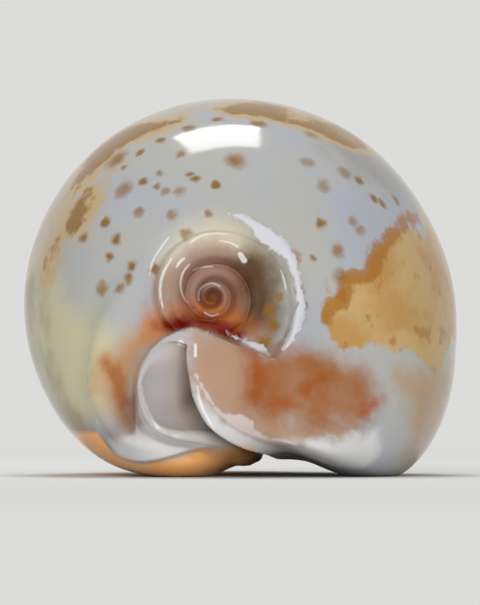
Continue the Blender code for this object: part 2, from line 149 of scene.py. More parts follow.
@dataclass(frozen=True)
class BodyWhorl:
    """Last whorl of the shell without its pit, canal and lips."""

    axis_x: float = -4.3
    axis_z: float = 27.3
    girth: Curve = ring([
        (-165, 28.7), (-150, 29.1), (-135, 29.6), (-120, 29.3), (-105, 28.1), (-90, 26.9), (-74, 25.1),
        (-62, 27.8), (-52, 34.85), (-46, 38.15), (-38, 39.5), (-31, 39.4), (-21, 38.5), (-12, 37.4),
        (0, 36.4), (20, 34.5), (45, 32.6), (70, 30.7), (95, 29.4), (125, 28.4), (155, 28), (178, 28.3)])
    front: Curve = ring([
        (-165, 30.5), (-140, 30), (-115, 28.3), (-90, 26), (-65, 28.3), (-40, 30.5), (-15, 30.5),
        (15, 30), (50, 30), (90, 30), (130, 30), (165, 30)])
    back: Curve = Curve([
        (0, 0, -40.5), (15, .26, -40), (30, .5, -37.2), (45, .71, -32), (60, .87, -25), (75, .965, -17),
        (90, 1, -8), (105, .965, 2.5), (120, .84, 13.5), (135, .63, 24.5), (150, .375, 34.5),
        (165, .16, 42.5), (180, 0, 47)])
    flank: Curve = Curve([
        (0, 0, -40.5), (15, .26, -40.1), (30, .5, -37.8), (45, .71, -33.4), (60, .87, -26.4),
        (75, .965, -17.5), (90, 1, -8), (105, .97, 2.5), (120, .86, 13.5), (135, .67, 25),
        (150, .43, 35.5), (165, .2, 43), (180, 0, 47)])
    base: Curve = Curve([
        (0, 0, -40.5), (15, .26, -40.6), (30, .5, -40.6), (45, .72, -40.4), (56, .875, -39.2),
        (66, .96, -36), (77, 1, -28.5), (90, 1, -17), (105, 1, -1.5), (120, .968, 13.5), (135, .83, 27),
        (150, .6, 37.5), (165, .32, 44), (180, 0, 47)])
    centre: Curve = Curve([
        (0, -4.3, 27.3), (30, -4.3, 27.3), (60, -4.3, 27.3), (90, -4.3, 27.3), (105, -4, 27.2),
        (120, -3.2, 26.4), (135, -2.2, 24), (150, -1.4, 19.6), (165, -1, 14.3), (180, -1, 10)])

    def points(self, angle: Array, row: Array) -> Array:
        """Points of the whorl.

        Args:
            angle: Angle round the axis.
            row: Row from the spire (0) to the front end (180).

        Returns:
            X, Y and Z for each place.
        """
        rise = np.sin(np.radians(angle))
        over = np.where(rise > 0.0, rise * rise, 0.0)[..., None]
        under = np.where(rise < 0.0, rise * rise, 0.0)[..., None]
        meridian = over * self.back(row) + under * self.base(row) + (1.0 - over - under) * self.flank(row)
        place = turned(angle)
        outline = self.girth(place) + (self.front(place) - self.girth(place)) * ease(95.0, 150.0, row)
        radius = meridian[..., 0] * outline
        centre = self.centre(row)
        across = centre[..., 0] + radius * np.cos(np.radians(angle))
        height = centre[..., 1] + radius * np.sin(np.radians(angle))
        return np.stack([across, meridian[..., 1], height], axis=-1)

    def polar(self, point: Array) -> Tuple[Array, Array]:
        """Distance from the coiling axis, and angle round it, of each point."""
        flat_x, flat_z = point[..., 0] - self.axis_x, point[..., 2] - self.axis_z
        return np.hypot(flat_x, flat_z), np.degrees(np.arctan2(flat_z, flat_x))


@dataclass(frozen=True)
class SpirePit:
    """Sunken spire: whorls that climb outwards from the middle as a spiral of rounded steps."""

    floor: float = -34.6
    climb: float = 2.0
    bulge: float = 0.5
    growth: float = 2.0
    start: float = 2.0
    hub: float = 1.2
    steepness: float = 2.6
    hub_clear: Pair = (0.2, 1.6)
    rim_share: Pair = (0.86, 1.05)
    coils: Curve = ring([
        (-170, 6.6), (-130, 6.6), (-110, 6.4), (-85, 6.4), (-60, 6.4), (-30, 6.9), (0, 7.5), (45, 7.3),
        (90, 6.9), (135, 6.7)])
    edge: Curve = ring([
        (-170, 9), (-150, 8.6), (-130, 8.2), (-110, 7.8), (-85, 7.8), (-65, 8.4), (-50, 10), (-38, 12.3),
        (-20, 13.3), (0, 13.4), (45, 12.9), (90, 11.6), (135, 10.2), (165, 9.4)])

    def stairs(self, radius: Array, place: Array) -> Array:
        """Place of the whorls along Y: each rises steeply from its inner line and rounds over.

        Args:
            radius: Distance from the axis.
            place: Angle round the axis.

        Returns:
            Y for each place.
        """
        reach = np.log(np.hypot(radius, self.hub) / self.start) / np.log(self.growth)
        whorl = reach - ((180.0 - place) % 360.0) / 360.0
        part = whorl - np.floor(whorl)
        rise = 1.0 - (1.0 - part) ** self.steepness
        clear = ease(*self.hub_clear, radius)
        height = self.climb * (reach + (rise - part) * clear)
        return self.floor - height - self.bulge * np.sin(np.pi * part) * clear

    def sink(self, y: Array, radius: Array, place: Array, open_share: Array) -> Array:
        """Let the surface down into the pit.

        Args:
            y: Place of the surface along Y before the pit.
            radius: Distance from the axis.
            place: Angle round the axis.
            open_share: 1 where the pit may be, 0 where it may not.

        Returns:
            Place of the surface along Y.
        """
        share = radius / self.edge(place)
        sunk = (1.0 - ease(*self.rim_share, share)) * open_share
        return y + (np.maximum(self.stairs(radius, place), y) - y) * sunk


@dataclass(frozen=True)
class Lip:
    """One lip of the slit: its edge, its thickness, its roundness and the way into the chamber."""

    edge: Curve
    depth: Curve
    bulge: Curve
    heading: Curve
    tooth_height: float
    tooth_pitch: float = 3.1
    tooth_rows: Pair = (72.0, 163.0)
    tooth_fade: float = 8.0
    tooth_sharpness: float = 1.4
    rows: Pair = (13.0, 170.0)
    samples: int = 800

    def tooth(self, row: Array) -> Array:
        """Shape the teeth along the lip.

        Args:
            row: Rows to read the teeth at.

        Returns:
            0 between teeth to 1 on their crests.
        """
        fine = np.linspace(*self.rows, self.samples)
        steps = np.linalg.norm(np.diff(self.edge(fine), axis=0), axis=1)
        length = np.interp(row, fine, np.concatenate([[0.0], np.cumsum(steps)]))
        crest = (0.5 + 0.5 * np.cos(2.0 * np.pi * length / self.tooth_pitch)) ** self.tooth_sharpness
        start, end = self.tooth_rows
        fade_in = ease(start, start + self.tooth_fade, row)
        return crest * fade_in * (1.0 - ease(end - self.tooth_fade, end, row))

    def surface(self, share: Array, row: Array) -> Array:
        """Points round the lip.

        Args:
            share: 0 at its outer edge to 1 at its inner edge.
            row: Row from the spire to the front end.

        Returns:
            X, Y and Z for each place.
        """
        swing = np.pi * np.asarray(share, float)[..., None]
        half = 0.5 * self.depth(row)
        crest = 1.0 + self.tooth_height * self.tooth(row)[..., None]
        return self.edge(row) + half * (1.0 - np.cos(swing)) + self.bulge(row) * np.sin(swing) * crest

    def inner_edge(self, row: Array) -> Array:
        """Points where the lip ends and the way into the chamber starts."""
        return self.edge(row) + self.depth(row)


def inner_lip() -> Lip:
    """Shape the lip on the side of the inner whorl.

    Returns:
        The lip.
    """
    return Lip(
        edge=Curve([
            (13, -8, -46, 20.1), (14.5, -9.3, -46.05, 20.6), (16, -10.7, -46.15, 20.6),
            (18, -12.1, -46.3, 20), (20, -13.1, -46.5, 19.1), (22, -13.9, -46.7, 18.1),
            (27, -15.1, -47, 15.6), (33, -15.3, -47, 13.2), (39, -14.8, -46.8, 10.4),
            (45, -13.5, -46.2, 8.1), (50, -11.2, -45, 6.5), (55, -8.1, -43.2, 5.7),
            (60, -4.8, -40.6, 5.2), (66, -2.2, -36.6, 4.4), (75, -.4, -29, 3.2), (90, .9, -16, 2.3),
            (110, 1.3, 3.5, 2.2), (130, .1, 22, 2.7), (150, -2.2, 36.8, 4.2), (160, -3.2, 42.4, 5.5),
            (165, -3, 44.4, 6.4), (168, -2.2, 45.4, 7.2), (170, -.8, 45.9, 7.9)]),
        depth=Curve([
            (13, 0, 1.7, -.4), (14.5, .5, 1.2, -.5), (16, .9, .8, -.6), (18, 1.1, .5, -.6),
            (22, 1.1, .35, -.4), (27, .9, .45, -.2), (33, .8, .5, .1), (39, .8, .5, .4), (45, .8, .6, .8),
            (50, .6, .7, 1.4), (55, .3, .8, 2), (60, .2, .8, 2.3), (66, 0, .4, 2.8), (75, 0, 0, 3.2),
            (150, 0, -.3, 3), (165, 0, -1.2, 2.2), (170, 0, -1.8, 1.4)]),
        bulge=Curve([
            (13, 0, 0, 0), (20, 0, 0, 0), (27, 0, -.35, 0), (39, .05, -.5, 0), (50, .3, -.9, 0),
            (60, .9, -.7, 0), (66, 1, -.4, 0), (75, 1.1, 0, 0), (150, 1, 0, 0), (165, .8, 0, 0),
            (168, .6, -.2, -.3), (170, 0, -.5, -.6)]),
        heading=Curve([
            (13, 0, 3, -1.5), (18, 3.2, 2.7, -1), (22, 6, 2.4, -.6), (27, 7.4, 2.6, -.3),
            (33, 7.6, 2.7, 0), (39, 6.6, 2.8, 1), (45, 4.6, 3, 2), (55, 1.4, 3, 3), (66, .5, 1.5, 4),
            (75, 0, 0, 5), (150, 0, 0, 4), (170, 0, -3, .8)]),
        tooth_height=0.45)


def outer_lip() -> Lip:
    """Shape the lip on the side of the outer whorl.

    Returns:
        The lip.
    """
    return Lip(
        edge=Curve([
            (13, -8, -46, 20.1), (15, -7.9, -46.1, 19.3), (18, -7.7, -46.35, 18.2),
            (22, -7.4, -46.7, 16.8), (27, -6.9, -46.9, 14.9), (33, -6.4, -46.9, 12.7),
            (39, -5.5, -46.8, 10.3), (45, -4.3, -46.5, 8.1), (50, -2.9, -46, 6.7), (55, -1.1, -45, 5.5),
            (60, .8, -43.2, 4.6), (66, 2.8, -39.8, 4), (75, 4.6, -32, 3.5), (90, 5.8, -17.5, 3.2),
            (110, 6.3, 2.5, 3), (130, 5.2, 21, 3.2), (150, 2.9, 36.2, 4.4), (160, 1.7, 42, 5.5),
            (165, 1.4, 44.2, 6.4), (168, .6, 45.3, 7.2), (170, -.8, 45.9, 7.9)]),
        depth=Curve([
            (13, 0, 1.7, -.4), (15, .5, 1.1, -.5), (18, .7, 1.1, -.4), (22, .7, 1.6, -.1),
            (27, .5, 2.1, .1), (33, .3, 2.4, .2), (45, .2, 2.2, .9), (50, .1, 1.9, 1.5),
            (55, 0, 1.5, 2.1), (60, 0, 1, 2.7), (66, 0, .4, 3.2), (75, 0, 0, 3.6), (150, 0, -.3, 3.2),
            (165, 0, -1.2, 2.2), (170, 0, -1.8, 1.4)]),
        bulge=Curve([
            (13, 0, 0, 0), (15, -.4, -.1, 0), (18, -.7, -.2, 0), (22, -.9, -.2, 0), (45, -1, 0, 0),
            (66, -1.3, 0, 0), (75, -1.5, 0, 0), (150, -1.2, 0, 0), (165, -.8, 0, 0), (168, -.6, -.2, -.3),
            (170, 0, -.5, -.6)]),
        heading=Curve([
            (13, 0, 3, -1.5), (15, .5, 2.9, -1.8), (18, 1.5, 2.7, -1.5), (22, 3, 2.5, -.8),
            (33, 4, 2.5, 0), (45, 4, 3, 1), (55, 3, 3, 2), (66, 2, 1.5, 3), (75, 1.5, 0, 4),
            (150, 1, 0, 3), (170, 0, -3, .8)]),
        tooth_height=0.55)


@dataclass(frozen=True)
class Stroke:
    """Ribbon laid on the spire end of the shell: places across X and Z with half widths."""

    path: Rows

    def smooth_path(self) -> Array:
        """Round the ribbon where it has three places or more.

        Returns:
            X, Z and half width of places along the ribbon.
        """
        path = np.array(self.path, float)
        if len(path) < 3:
            return path
        steps = np.linalg.norm(np.diff(path[:, :2], axis=0), axis=1)
        along = np.concatenate([[0.0], np.cumsum(steps)])
        return Curve(np.column_stack([along, path]))(np.linspace(0.0, along[-1], 4 * len(path) - 3))

    def depth_inside(self, point: Array) -> Array:
        """How far points are inside the ribbon.

        Args:
            point: Points in millimetres.

        Returns:
            One depth for each point, negative outside.
        """
        best = np.full(point.shape[:-1], FAR_OFF)
        flat = point[..., ::2]
        path = self.smooth_path()
        for (x0, z0, w0), (x1, z1, w1) in zip(path[:-1], path[1:]):
            start, way = np.array([x0, z0]), np.array([x1 - x0, z1 - z0])
            share = np.clip(((flat - start) @ way) / (way @ way), 0.0, 1.0)
            gap = np.linalg.norm(flat - start - share[..., None] * way, axis=-1)
            best = np.maximum(best, w0 + (w1 - w0) * share - gap)
        return best


@dataclass(frozen=True)
class Patch:
    """Closed outline laid on the spire end of the shell: corners across X and Z."""

    corners: Rows

    def depth_inside(self, point: Array) -> Array:
        """How far points are inside the outline.

        Args:
            point: Points in millimetres.

        Returns:
            One depth for each point, negative outside.
        """
        flat = point[..., ::2]
        gap = np.full(point.shape[:-1], 1e9)
        inside = np.zeros(point.shape[:-1], bool)
        ends = list(self.corners[1:]) + [self.corners[0]]
        for (x0, z0), (x1, z1) in zip(self.corners, ends):
            start, way = np.array([x0, z0]), np.array([x1 - x0, z1 - z0])
            share = np.clip(((flat - start) @ way) / (way @ way), 0.0, 1.0)
            gap = np.minimum(gap, np.linalg.norm(flat - start - share[..., None] * way, axis=-1))
            crosses = (flat[..., 1] < z0) != (flat[..., 1] < z1)
            slope = (x1 - x0) / (z1 - z0) if z1 != z0 else 0.0
            inside ^= crosses & (flat[..., 0] < x0 + (flat[..., 1] - z0) * slope)
        return np.clip(np.where(inside, gap, -gap), FAR_OFF, -FAR_OFF)


@dataclass(frozen=True)
class CallusRelief:
    """Raised callus round the canal and the pit."""

    shelf_rise: float = 2.6
    shelf_start: Pair = (-127.0, -112.0)
    shelf_end: Pair = (-92.0, -80.0)
    shelf_edge: float = 0.4
    shelf_width: Pair = (7.0, 1.5)
    ledge: Curve = Curve([
        (-128, 28), (-120, 27.6), (-114, 27), (-107, 25.3), (-100, 23.6), (-94, 22.7), (-80, 22.4)])
    ridge: Stroke = Stroke([
        (-1.7, 39.5, .15), (.4, 38.8, .4), (2.2, 37.6, .7), (3.7, 36.2, 1.2), (5.3, 35, 1.1),
        (6.9, 33.5, .75), (7.8, 31.7, .6), (8.3, 29.7, .5), (8.7, 27.9, .5), (8.9, 26.1, .65),
        (8.4, 23.7, .7), (7.7, 21.9, .6), (6.3, 19.6, .3)])
    canal_ridge: Stroke = Stroke([
        (-2.3, 21.9, .1), (-.5, 21, .2), (1.3, 20.3, .25), (2.8, 19.5, .6), (4.1, 18.7, .2)])
    lip_line: Stroke = Stroke([
        (-6.8, 15.8, .12), (-5.5, 13.4, .22), (-3.8, 10.7, .3), (-2.9, 9.8, .3), (-1.3, 8.4, .45),
        (.7, 7.2, .45), (2.3, 6.5, .5), (4, 5.9, .45), (5.8, 5.5, .55), (7.7, 5.3, .3)])
    lip_patch: Patch = Patch([
        (-2.2, 9.8), (-.8, 9.9), (.5, 9.5), (1.7, 8.6), (2.3, 6.9), (.7, 7.4), (-.8, 8.3)])

    def shelf(self, radius: Array, place: Array) -> Array:
        """How far the callus below the canal stands out, with a ledge under it.

        Args:
            radius: Distance from the axis.
            place: Angle round the axis.

        Returns:
            Height for each place, in millimetres.
        """
        span = ease(*self.shelf_start, place) * (1.0 - ease(*self.shelf_end, place))
        ledge = self.ledge(place)
        inside = 1.0 - ease(ledge - self.shelf_edge, ledge + self.shelf_edge, radius)
        far, near = self.shelf_width
        outside = ease(ledge - far, ledge - near, radius)
        return self.shelf_rise * span * inside * outside

    def ribbons(self, point: Array) -> Array:
        """Depth of each point inside any of the raised ribbons, in millimetres."""
        shapes = (self.ridge, self.canal_ridge, self.lip_line, self.lip_patch)
        return np.max([shape.depth_inside(point) for shape in shapes], axis=0)


@dataclass(frozen=True)
class Chamber:
    """Hollow of the last whorl behind the slit."""

    turn: float = 285.0
    start: float = -62.0
    core_share: float = 0.26
    cap_rows: float = 55.0
    tail_rows: float = 28.0
    join: float = 0.10
    wall: float = 2.6
    wall_share: float = 0.25
    tail_back: float = 2.0
    cap_forward: float = 5.0
    step: float = 0.01
    smoothing: float = 0.08
    slit: Pair = (13.0, 170.0)
    body_row: Curve = Curve([
        (13, 60), (40, 66.5), (60, 73), (75, 80.5), (90, 91), (110, 110), (130, 128), (150, 142),
        (170, 152)])

    def face(self, whorl: BodyWhorl, along: Array, side: Array, row: Array) -> Array:
        """Points on the chamber's wall.

        Args:
            whorl: The whorl that the chamber follows.
            along: Share of the chamber's turn, from the slit onwards.
            side: -1 on the inner whorl, 1 on the outer wall.
            row: Row from the spire to the front end.

        Returns:
            X, Y and Z for each place.
        """
        body_row = self.body_row(row)
        first, last = self.slit
        cap = np.sqrt(1.0 - (1.0 - np.clip((row - first) / self.cap_rows, 0.0, 1.0)) ** 2)
        tail = np.sqrt(1.0 - (1.0 - np.clip((last - row) / self.tail_rows, 0.0, 1.0)) ** 2)
        body = whorl.points(self.start + self.turn * along, body_row)
        centre = whorl.centre(body_row)
        middle = np.stack([centre[..., 0], body[..., 1], centre[..., 1]], axis=-1)
        reach = body - middle
        size = np.linalg.norm(reach, axis=-1)
        outer, inner = size - np.minimum(self.wall, self.wall_share * size), self.core_share * size
        radius = 0.5 * (outer + inner) + 0.5 * (outer - inner) * side * cap * tail
        point = middle + reach / size[..., None] * radius[..., None]
        point[..., 1] += self.tail_back * (1.0 - tail) - self.cap_forward * (1.0 - cap)
        return point

    def way_in(self, whorl: BodyWhorl, lip: Lip, share: Array, side: float, row: Array) -> Array:
        """Smooth way from a lip's inner edge to the chamber's wall.

        Args:
            whorl: The whorl that the chamber follows.
            lip: The lip.
            share: 0 at the lip to 1 at the wall.
            side: Side of the chamber, from -1 to 1.
            row: Row from the spire to the front end.

        Returns:
            X, Y and Z for each place.
        """
        join = self.face(whorl, self.join, side, row)
        after = self.face(whorl, self.join + self.step, side, row)
        start = lip.inner_edge(row)
        first = start + lip.heading(row)
        last = join - (after - join) * (self.join / self.smoothing)
        share = share[..., None]
        left = 1.0 - share
        near = left ** 3 * start + 3.0 * left ** 2 * share * first
        return near + 3.0 * left * share ** 2 * last + share ** 3 * join

    def points(self, whorl: BodyWhorl, inner: Lip, outer: Lip, turn: Array, row: Array) -> Array:
        """Points up the inner whorl, round the chamber's far end and back inside the outer wall.

        Args:
            whorl: The whorl that the chamber follows.
            inner: The inner lip.
            outer: The outer lip.
            turn: 0 at the inner lip to 1 at the outer lip.
            row: Row from the spire to the front end.

        Returns:
            X, Y and Z for each place.
        """
        turn, row = np.broadcast_arrays(np.asarray(turn, float), np.asarray(row, float))
        along = 1.0 - np.abs(2.0 * turn - 1.0)
        side = np.sign(2.0 * turn - 1.0) * np.cbrt(1.0 - along ** 3)
        point = self.face(whorl, along, side, row)
        share = np.clip(along / self.join, 0.0, 1.0)
        join_side = float(np.cbrt(1.0 - self.join ** 3))
        up = self.way_in(whorl, inner, share, -join_side, row)
        down = self.way_in(whorl, outer, share, join_side, row)
        ends = np.where((turn < 0.5)[..., None], up, down)
        return np.where((along < self.join)[..., None], ends, point)


@dataclass(frozen=True)
class Swell:
    """Soft rise or hollow of the spire end round a place across X and Z."""

    x: float
    z: float
    width: float
    height: float
    push: float

    def shift(self, point: Array) -> Array:
        """How far each point moves along Y."""
        return self.push * hump(point[..., 0], self.x, self.width) * hump(point[..., 2], self.z, self.height)


@dataclass(frozen=True)
class ShellSurface:
    """Whole outside of the shell, lips and pit included. Pairs of rows bound a change."""

    whorl: BodyWhorl = BodyWhorl()
    pit: SpirePit = SpirePit()
    inner: Lip = inner_lip()
    outer: Lip = outer_lip()
    callus: CallusRelief = CallusRelief()
    chamber: Chamber = Chamber()
    closing_row: float = 8.5
    spire_rows: Pair = (60.0, 90.0)
    callus_rows: Pair = (66.0, 80.0)
    swell_rows: Tuple[Pair, Pair] = ((36.0, 46.0), (70.0, 84.0))
    inner_dome_rows: Pair = (20.0, 27.0)
    outer_rows: Pair = (14.0, 20.0)
    rim_rows: Pair = (34.0, 46.0)
    pit_rows: float = 60.0
    least_gap: float = 6.0
    most_of_arc: float = 0.45
    side_reach: Pair = (26.0, 14.0)
    rim_reach: Pair = (0.9, 2.4)
    lip_reach: float = 26.0
    base_reach: float = 9.0
    dome_edge: Pair = (-0.1, 0.3)
    callus_gap: Pair = (0.0, 2.5)
    bulge_gap: Pair = (1.0, 5.0)
    flange_gap: Pair = (1.0, 6.0)
    ribbon_gap: Pair = (0.0, 2.0)
    ribbon_edge: Pair = (-0.25, 0.45)
    ribbon_rise: float = 0.35
    tooth_rise: float = 0.35
    tooth_start: float = 0.2
    tooth_reach: Pair = (2.6, 4.4)
    hollow: Swell = Swell(x=-16.2, z=9.6, width=2.4, height=2.8, push=1.2)
    bulge: Swell = Swell(x=-9.0, z=1.6, width=9.0, height=2.4, push=-2.6)
    flange: Swell = Swell(x=10.5, z=4.0, width=8.0, height=3.6, push=-5.0)
    crown: Patch = Patch([
        (-7.25, 22.85), (-9.5, 22.35), (-11.6, 21.3), (-13.7, 19.3), (-15, 16.5), (-15.6, 13.4), (-15.6, 4),
        (20, 4), (20, 12), (8, 17), (4, 18.7), (1.2, 19.8), (-1.2, 20.5), (-2.9, 21.3), (-4.9, 22.2)])
    seam: Curve = Curve([
        (0, -127), (13, -127), (22, -114), (32, -105), (42, -96), (52, -88), (62, -80), (75, -73),
        (90, -70), (110, -70), (130, -76), (150, -86), (165, -90), (180, -90)])

    def outside(self, turn: Array, row: Array) -> Array:
        """Points of the outside.

        Args:
            turn: Share of a turn, 0 at the inner lip and 1 at the outer lip.
            row: Row from the spire (0) to the front end (180).

        Returns:
            X, Y and Z for each place.
        """
        turn, row = np.broadcast_arrays(np.asarray(turn, float), np.asarray(row, float))
        first, last = self.chamber.slit
        seam_angle = self.seam(row)
        seam = self.whorl.points(seam_angle, row)
        point = self.whorl.points(seam_angle - 360.0 * turn, row)
        arc = 2.0 * np.pi * np.maximum(self.whorl.polar(seam)[0], self.least_gap)
        away = (turn * arc, (1.0 - turn) * arc)
        open_row = np.clip(row, first, last)
        shifts = (self.inner.edge(open_row) - seam, self.outer.edge(open_row) - seam)
        self.draw_sides(point, shifts, away, arc, row)
        dome = ease(*self.dome_edge, self.crown.depth_inside(point))
        self.draw_forward(point, shifts, away, arc, row, dome)
        self.raise_callus(point, away, row)
        radius, place = self.whorl.polar(point)
        open_share = (row < self.pit_rows) * (1.0 - dome)
        point[..., 1] = self.pit.sink(point[..., 1], radius, place, open_share)
        # relief of the raised callus ribbons, which also carry a painted highlight
        ribbon = ease(*self.ribbon_edge, self.callus.ribbons(point)) * (row < self.callus_rows[0])
        point[..., 1] -= self.ribbon_rise * ribbon * ease(*self.ribbon_gap, np.minimum(*away))
        for lip, gap, reach in zip((self.inner, self.outer), away, self.tooth_reach):
            point[..., 2] -= self.tooth_rise * lip.tooth(row) * (1.0 - ease(self.tooth_start, reach, gap))
        return point

    def draw_sides(self, point: Array, shifts: Both, away: Both, arc: Array, row: Array) -> None:
        """Draw the surface across X and Z to the edges of both lips.

        Args:
            point: Points to move.
            shifts: From the seam to the inner and to the outer lip's edge.
            away: Distance from the inner and from the outer lip.
            arc: Length of a whole turn.
            row: Row of each point.
        """
        first, last = self.chamber.slit
        closed = ease(self.closing_row, first, row) * (1.0 - ease(last, LAST_ROW, row))
        spire = 1.0 - ease(*self.spire_rows, row)
        at_spire, at_base = self.side_reach
        side = np.minimum(at_spire * spire + at_base * (1.0 - spire), self.most_of_arc * arc)
        for shift, gap in zip(shifts, away):
            share = closed * (1.0 - ease(0.0, side, gap))
            point[..., ::2] += shift[..., ::2] * share[..., None]

    def draw_forward(self, point: Array, shifts: Both, away: Both, arc: Array, row: Array,
                     dome: Array) -> None:
        """Draw the surface along Y to the edges of both lips, and the dome beside the canal with them.

        Args:
            point: Points to move.
            shifts: From the seam to the inner and to the outer lip's edge.
            away: Distance from the inner and from the outer lip.
            arc: Length of a whole turn.
            row: Row of each point.
            dome: 1 on the dome and the canal, 0 outside them.
        """
        first, last = self.chamber.slit
        spire = 1.0 - ease(*self.spire_rows, row)
        low, high = self.rim_reach
        rim = low + (high - low) * ease(*self.rim_rows, row)
        near = [np.minimum(reach * spire + self.base_reach * (1.0 - spire), self.most_of_arc * arc)
                for reach in (rim, self.lip_reach)]
        beside_inner, beside_outer = [1.0 - ease(0.0, reach, gap) for reach, gap in zip(near, away)]
        inner = np.maximum((row >= first) * beside_inner, dome * (1.0 - ease(*self.inner_dome_rows, row)))
        outer = np.maximum(ease(*self.outer_rows, row), dome * (row < self.outer_rows[1])) * beside_outer
        moved = np.where(away[0] < away[1], shifts[0][..., 1] * inner, shifts[1][..., 1] * outer)
        point[..., 1] += (1.0 - ease(last, LAST_ROW, row)) * moved

    def raise_callus(self, point: Array, away: Both, row: Array) -> None:
        """Raise the shelf, the bulge and the flange along Y, and sink the hollow.

        Args:
            point: Points to move.
            away: Distance from the inner and from the outer lip.
            row: Row of each point.
        """
        inner_half = away[0] < away[1]
        radius, place = self.whorl.polar(point)
        beside = (1.0 - ease(*self.callus_rows, row)) * ease(*self.callus_gap, away[0])
        point[..., 1] -= self.callus.shelf(radius, place) * beside * inner_half
        point[..., 1] += self.hollow.shift(point) * beside
        start, end = self.swell_rows
        forward = (1.0 - ease(*end, row)) * ease(*start, row)
        bulge = self.bulge.shift(point) * ease(*self.bulge_gap, away[0])
        point[..., 1] += bulge * forward * inner_half
        outer_half = away[0] > away[1]
        flange = self.flange.shift(point) * ease(*self.flange_gap, away[1])
        point[..., 1] += flange * forward * outer_half


@dataclass(frozen=True)
class Disc:
    """Round spot laid on the spire end of the shell: centre across X and Z, radius and flatness."""

    x: float
    z: float
    radius: float
    flatness: float = 1.0

    def depth_inside(self, point: Array) -> Array:
        """How far each point is inside the spot, in millimetres, negative outside it."""
        return self.radius - np.hypot(point[..., 0] - self.x, (point[..., 2] - self.z) * self.flatness)


Shape = Union[Patch, Stroke, Disc]
WAVE = (0.21, 0.13, 0.0)
RIPPLE = (0.47, -0.3, 1.0)


def sway(point: Array, per_z: float, per_x: float, phase: float) -> Array:
    """Wave over X and Z, by radians for each millimetre along them."""
    return np.sin(per_z * point[..., 2] + per_x * point[..., 0] + phase)


class Reach(Enum):
    """Where a colour ends along the shell: slope of its depth, end along Y, and the swing of two waves."""

    FACE = (1.0, -18.0, 0.0, 0.0)
    CALLUS = (1.0, -36.0, 0.0, 0.0)
    GLINT = (1.0, -32.0, 0.0, 0.0)
    SIDE = (1.0, -4.0, 5.0, 2.5)
    BAND = (0.35, -15.0, 2.2, 1.4)
    MIST = (0.2, -6.0, 0.0, 0.0)
    REAR = (-0.25, -12.0, 0.0, 0.0)

    def depth(self, point: Array) -> Array:
        """How far points are within the reach.

        Args:
            point: Points in millimetres.

        Returns:
            One depth for each point, negative beyond the end.
        """
        slope, end, wave, ripple = self.value
        swing = wave * sway(point, *WAVE) + ripple * sway(point, *RIPPLE)
        return np.clip(slope * (end - point[..., 1]) + swing, FAR_OFF, -FAR_OFF)


class Side(Enum):
    """Whether a colour stays on the dome and the canal, stays off them, or may lie on both."""

    OFF_CROWN = -1.0
    BOTH = 0.0
    ON_CROWN = 1.0


@dataclass(frozen=True)
class Area:
    """Where one colour lies: its shapes across X and Z, its reach along Y and its side of the crown."""

    name: str
    reach: Reach
    shapes: Tuple[Shape, ...]
    side: Side = Side.BOTH
    drifts: bool = False
    drift_rise: float = 2.2
    drift_ends: Pair = (-34.0, -20.0)
    drift_waves: Pair = (0.26, 0.11)

    def depth(self, point: Array, crown: Array) -> Array:
        """How far points are inside the colour.

        Args:
            point: Points in millimetres.
            crown: Their depths inside the dome and the canal.

        Returns:
            One depth for each point, negative outside.
        """
        depth = np.max([shape.depth_inside(point) for shape in self.shapes], axis=0)
        if self.drifts:
            per_y, per_z = self.drift_waves
            wave = np.sin(per_y * point[..., 1] + per_z * point[..., 2])
            depth = depth + self.drift_rise * ease(*self.drift_ends, point[..., 1]) * wave
        depth = np.minimum(depth, self.reach.depth(point))
        if self.side is not Side.BOTH:
            depth = np.minimum(depth, CROWN_OVERLAP + self.side.value * crown)
        return depth


def outline(name: str, reach: Reach, corners: Rows, side: Side = Side.BOTH, drifts: bool = False) -> Area:
    """Area inside one outline."""
    return Area(name, reach, (Patch(corners),), side, drifts)


def ribbons(name: str, reach: Reach, *paths: Rows, side: Side = Side.BOTH, drifts: bool = False) -> Area:
    """Area of one or more ribbons."""
    return Area(name, reach, tuple(Stroke(path) for path in paths), side, drifts)


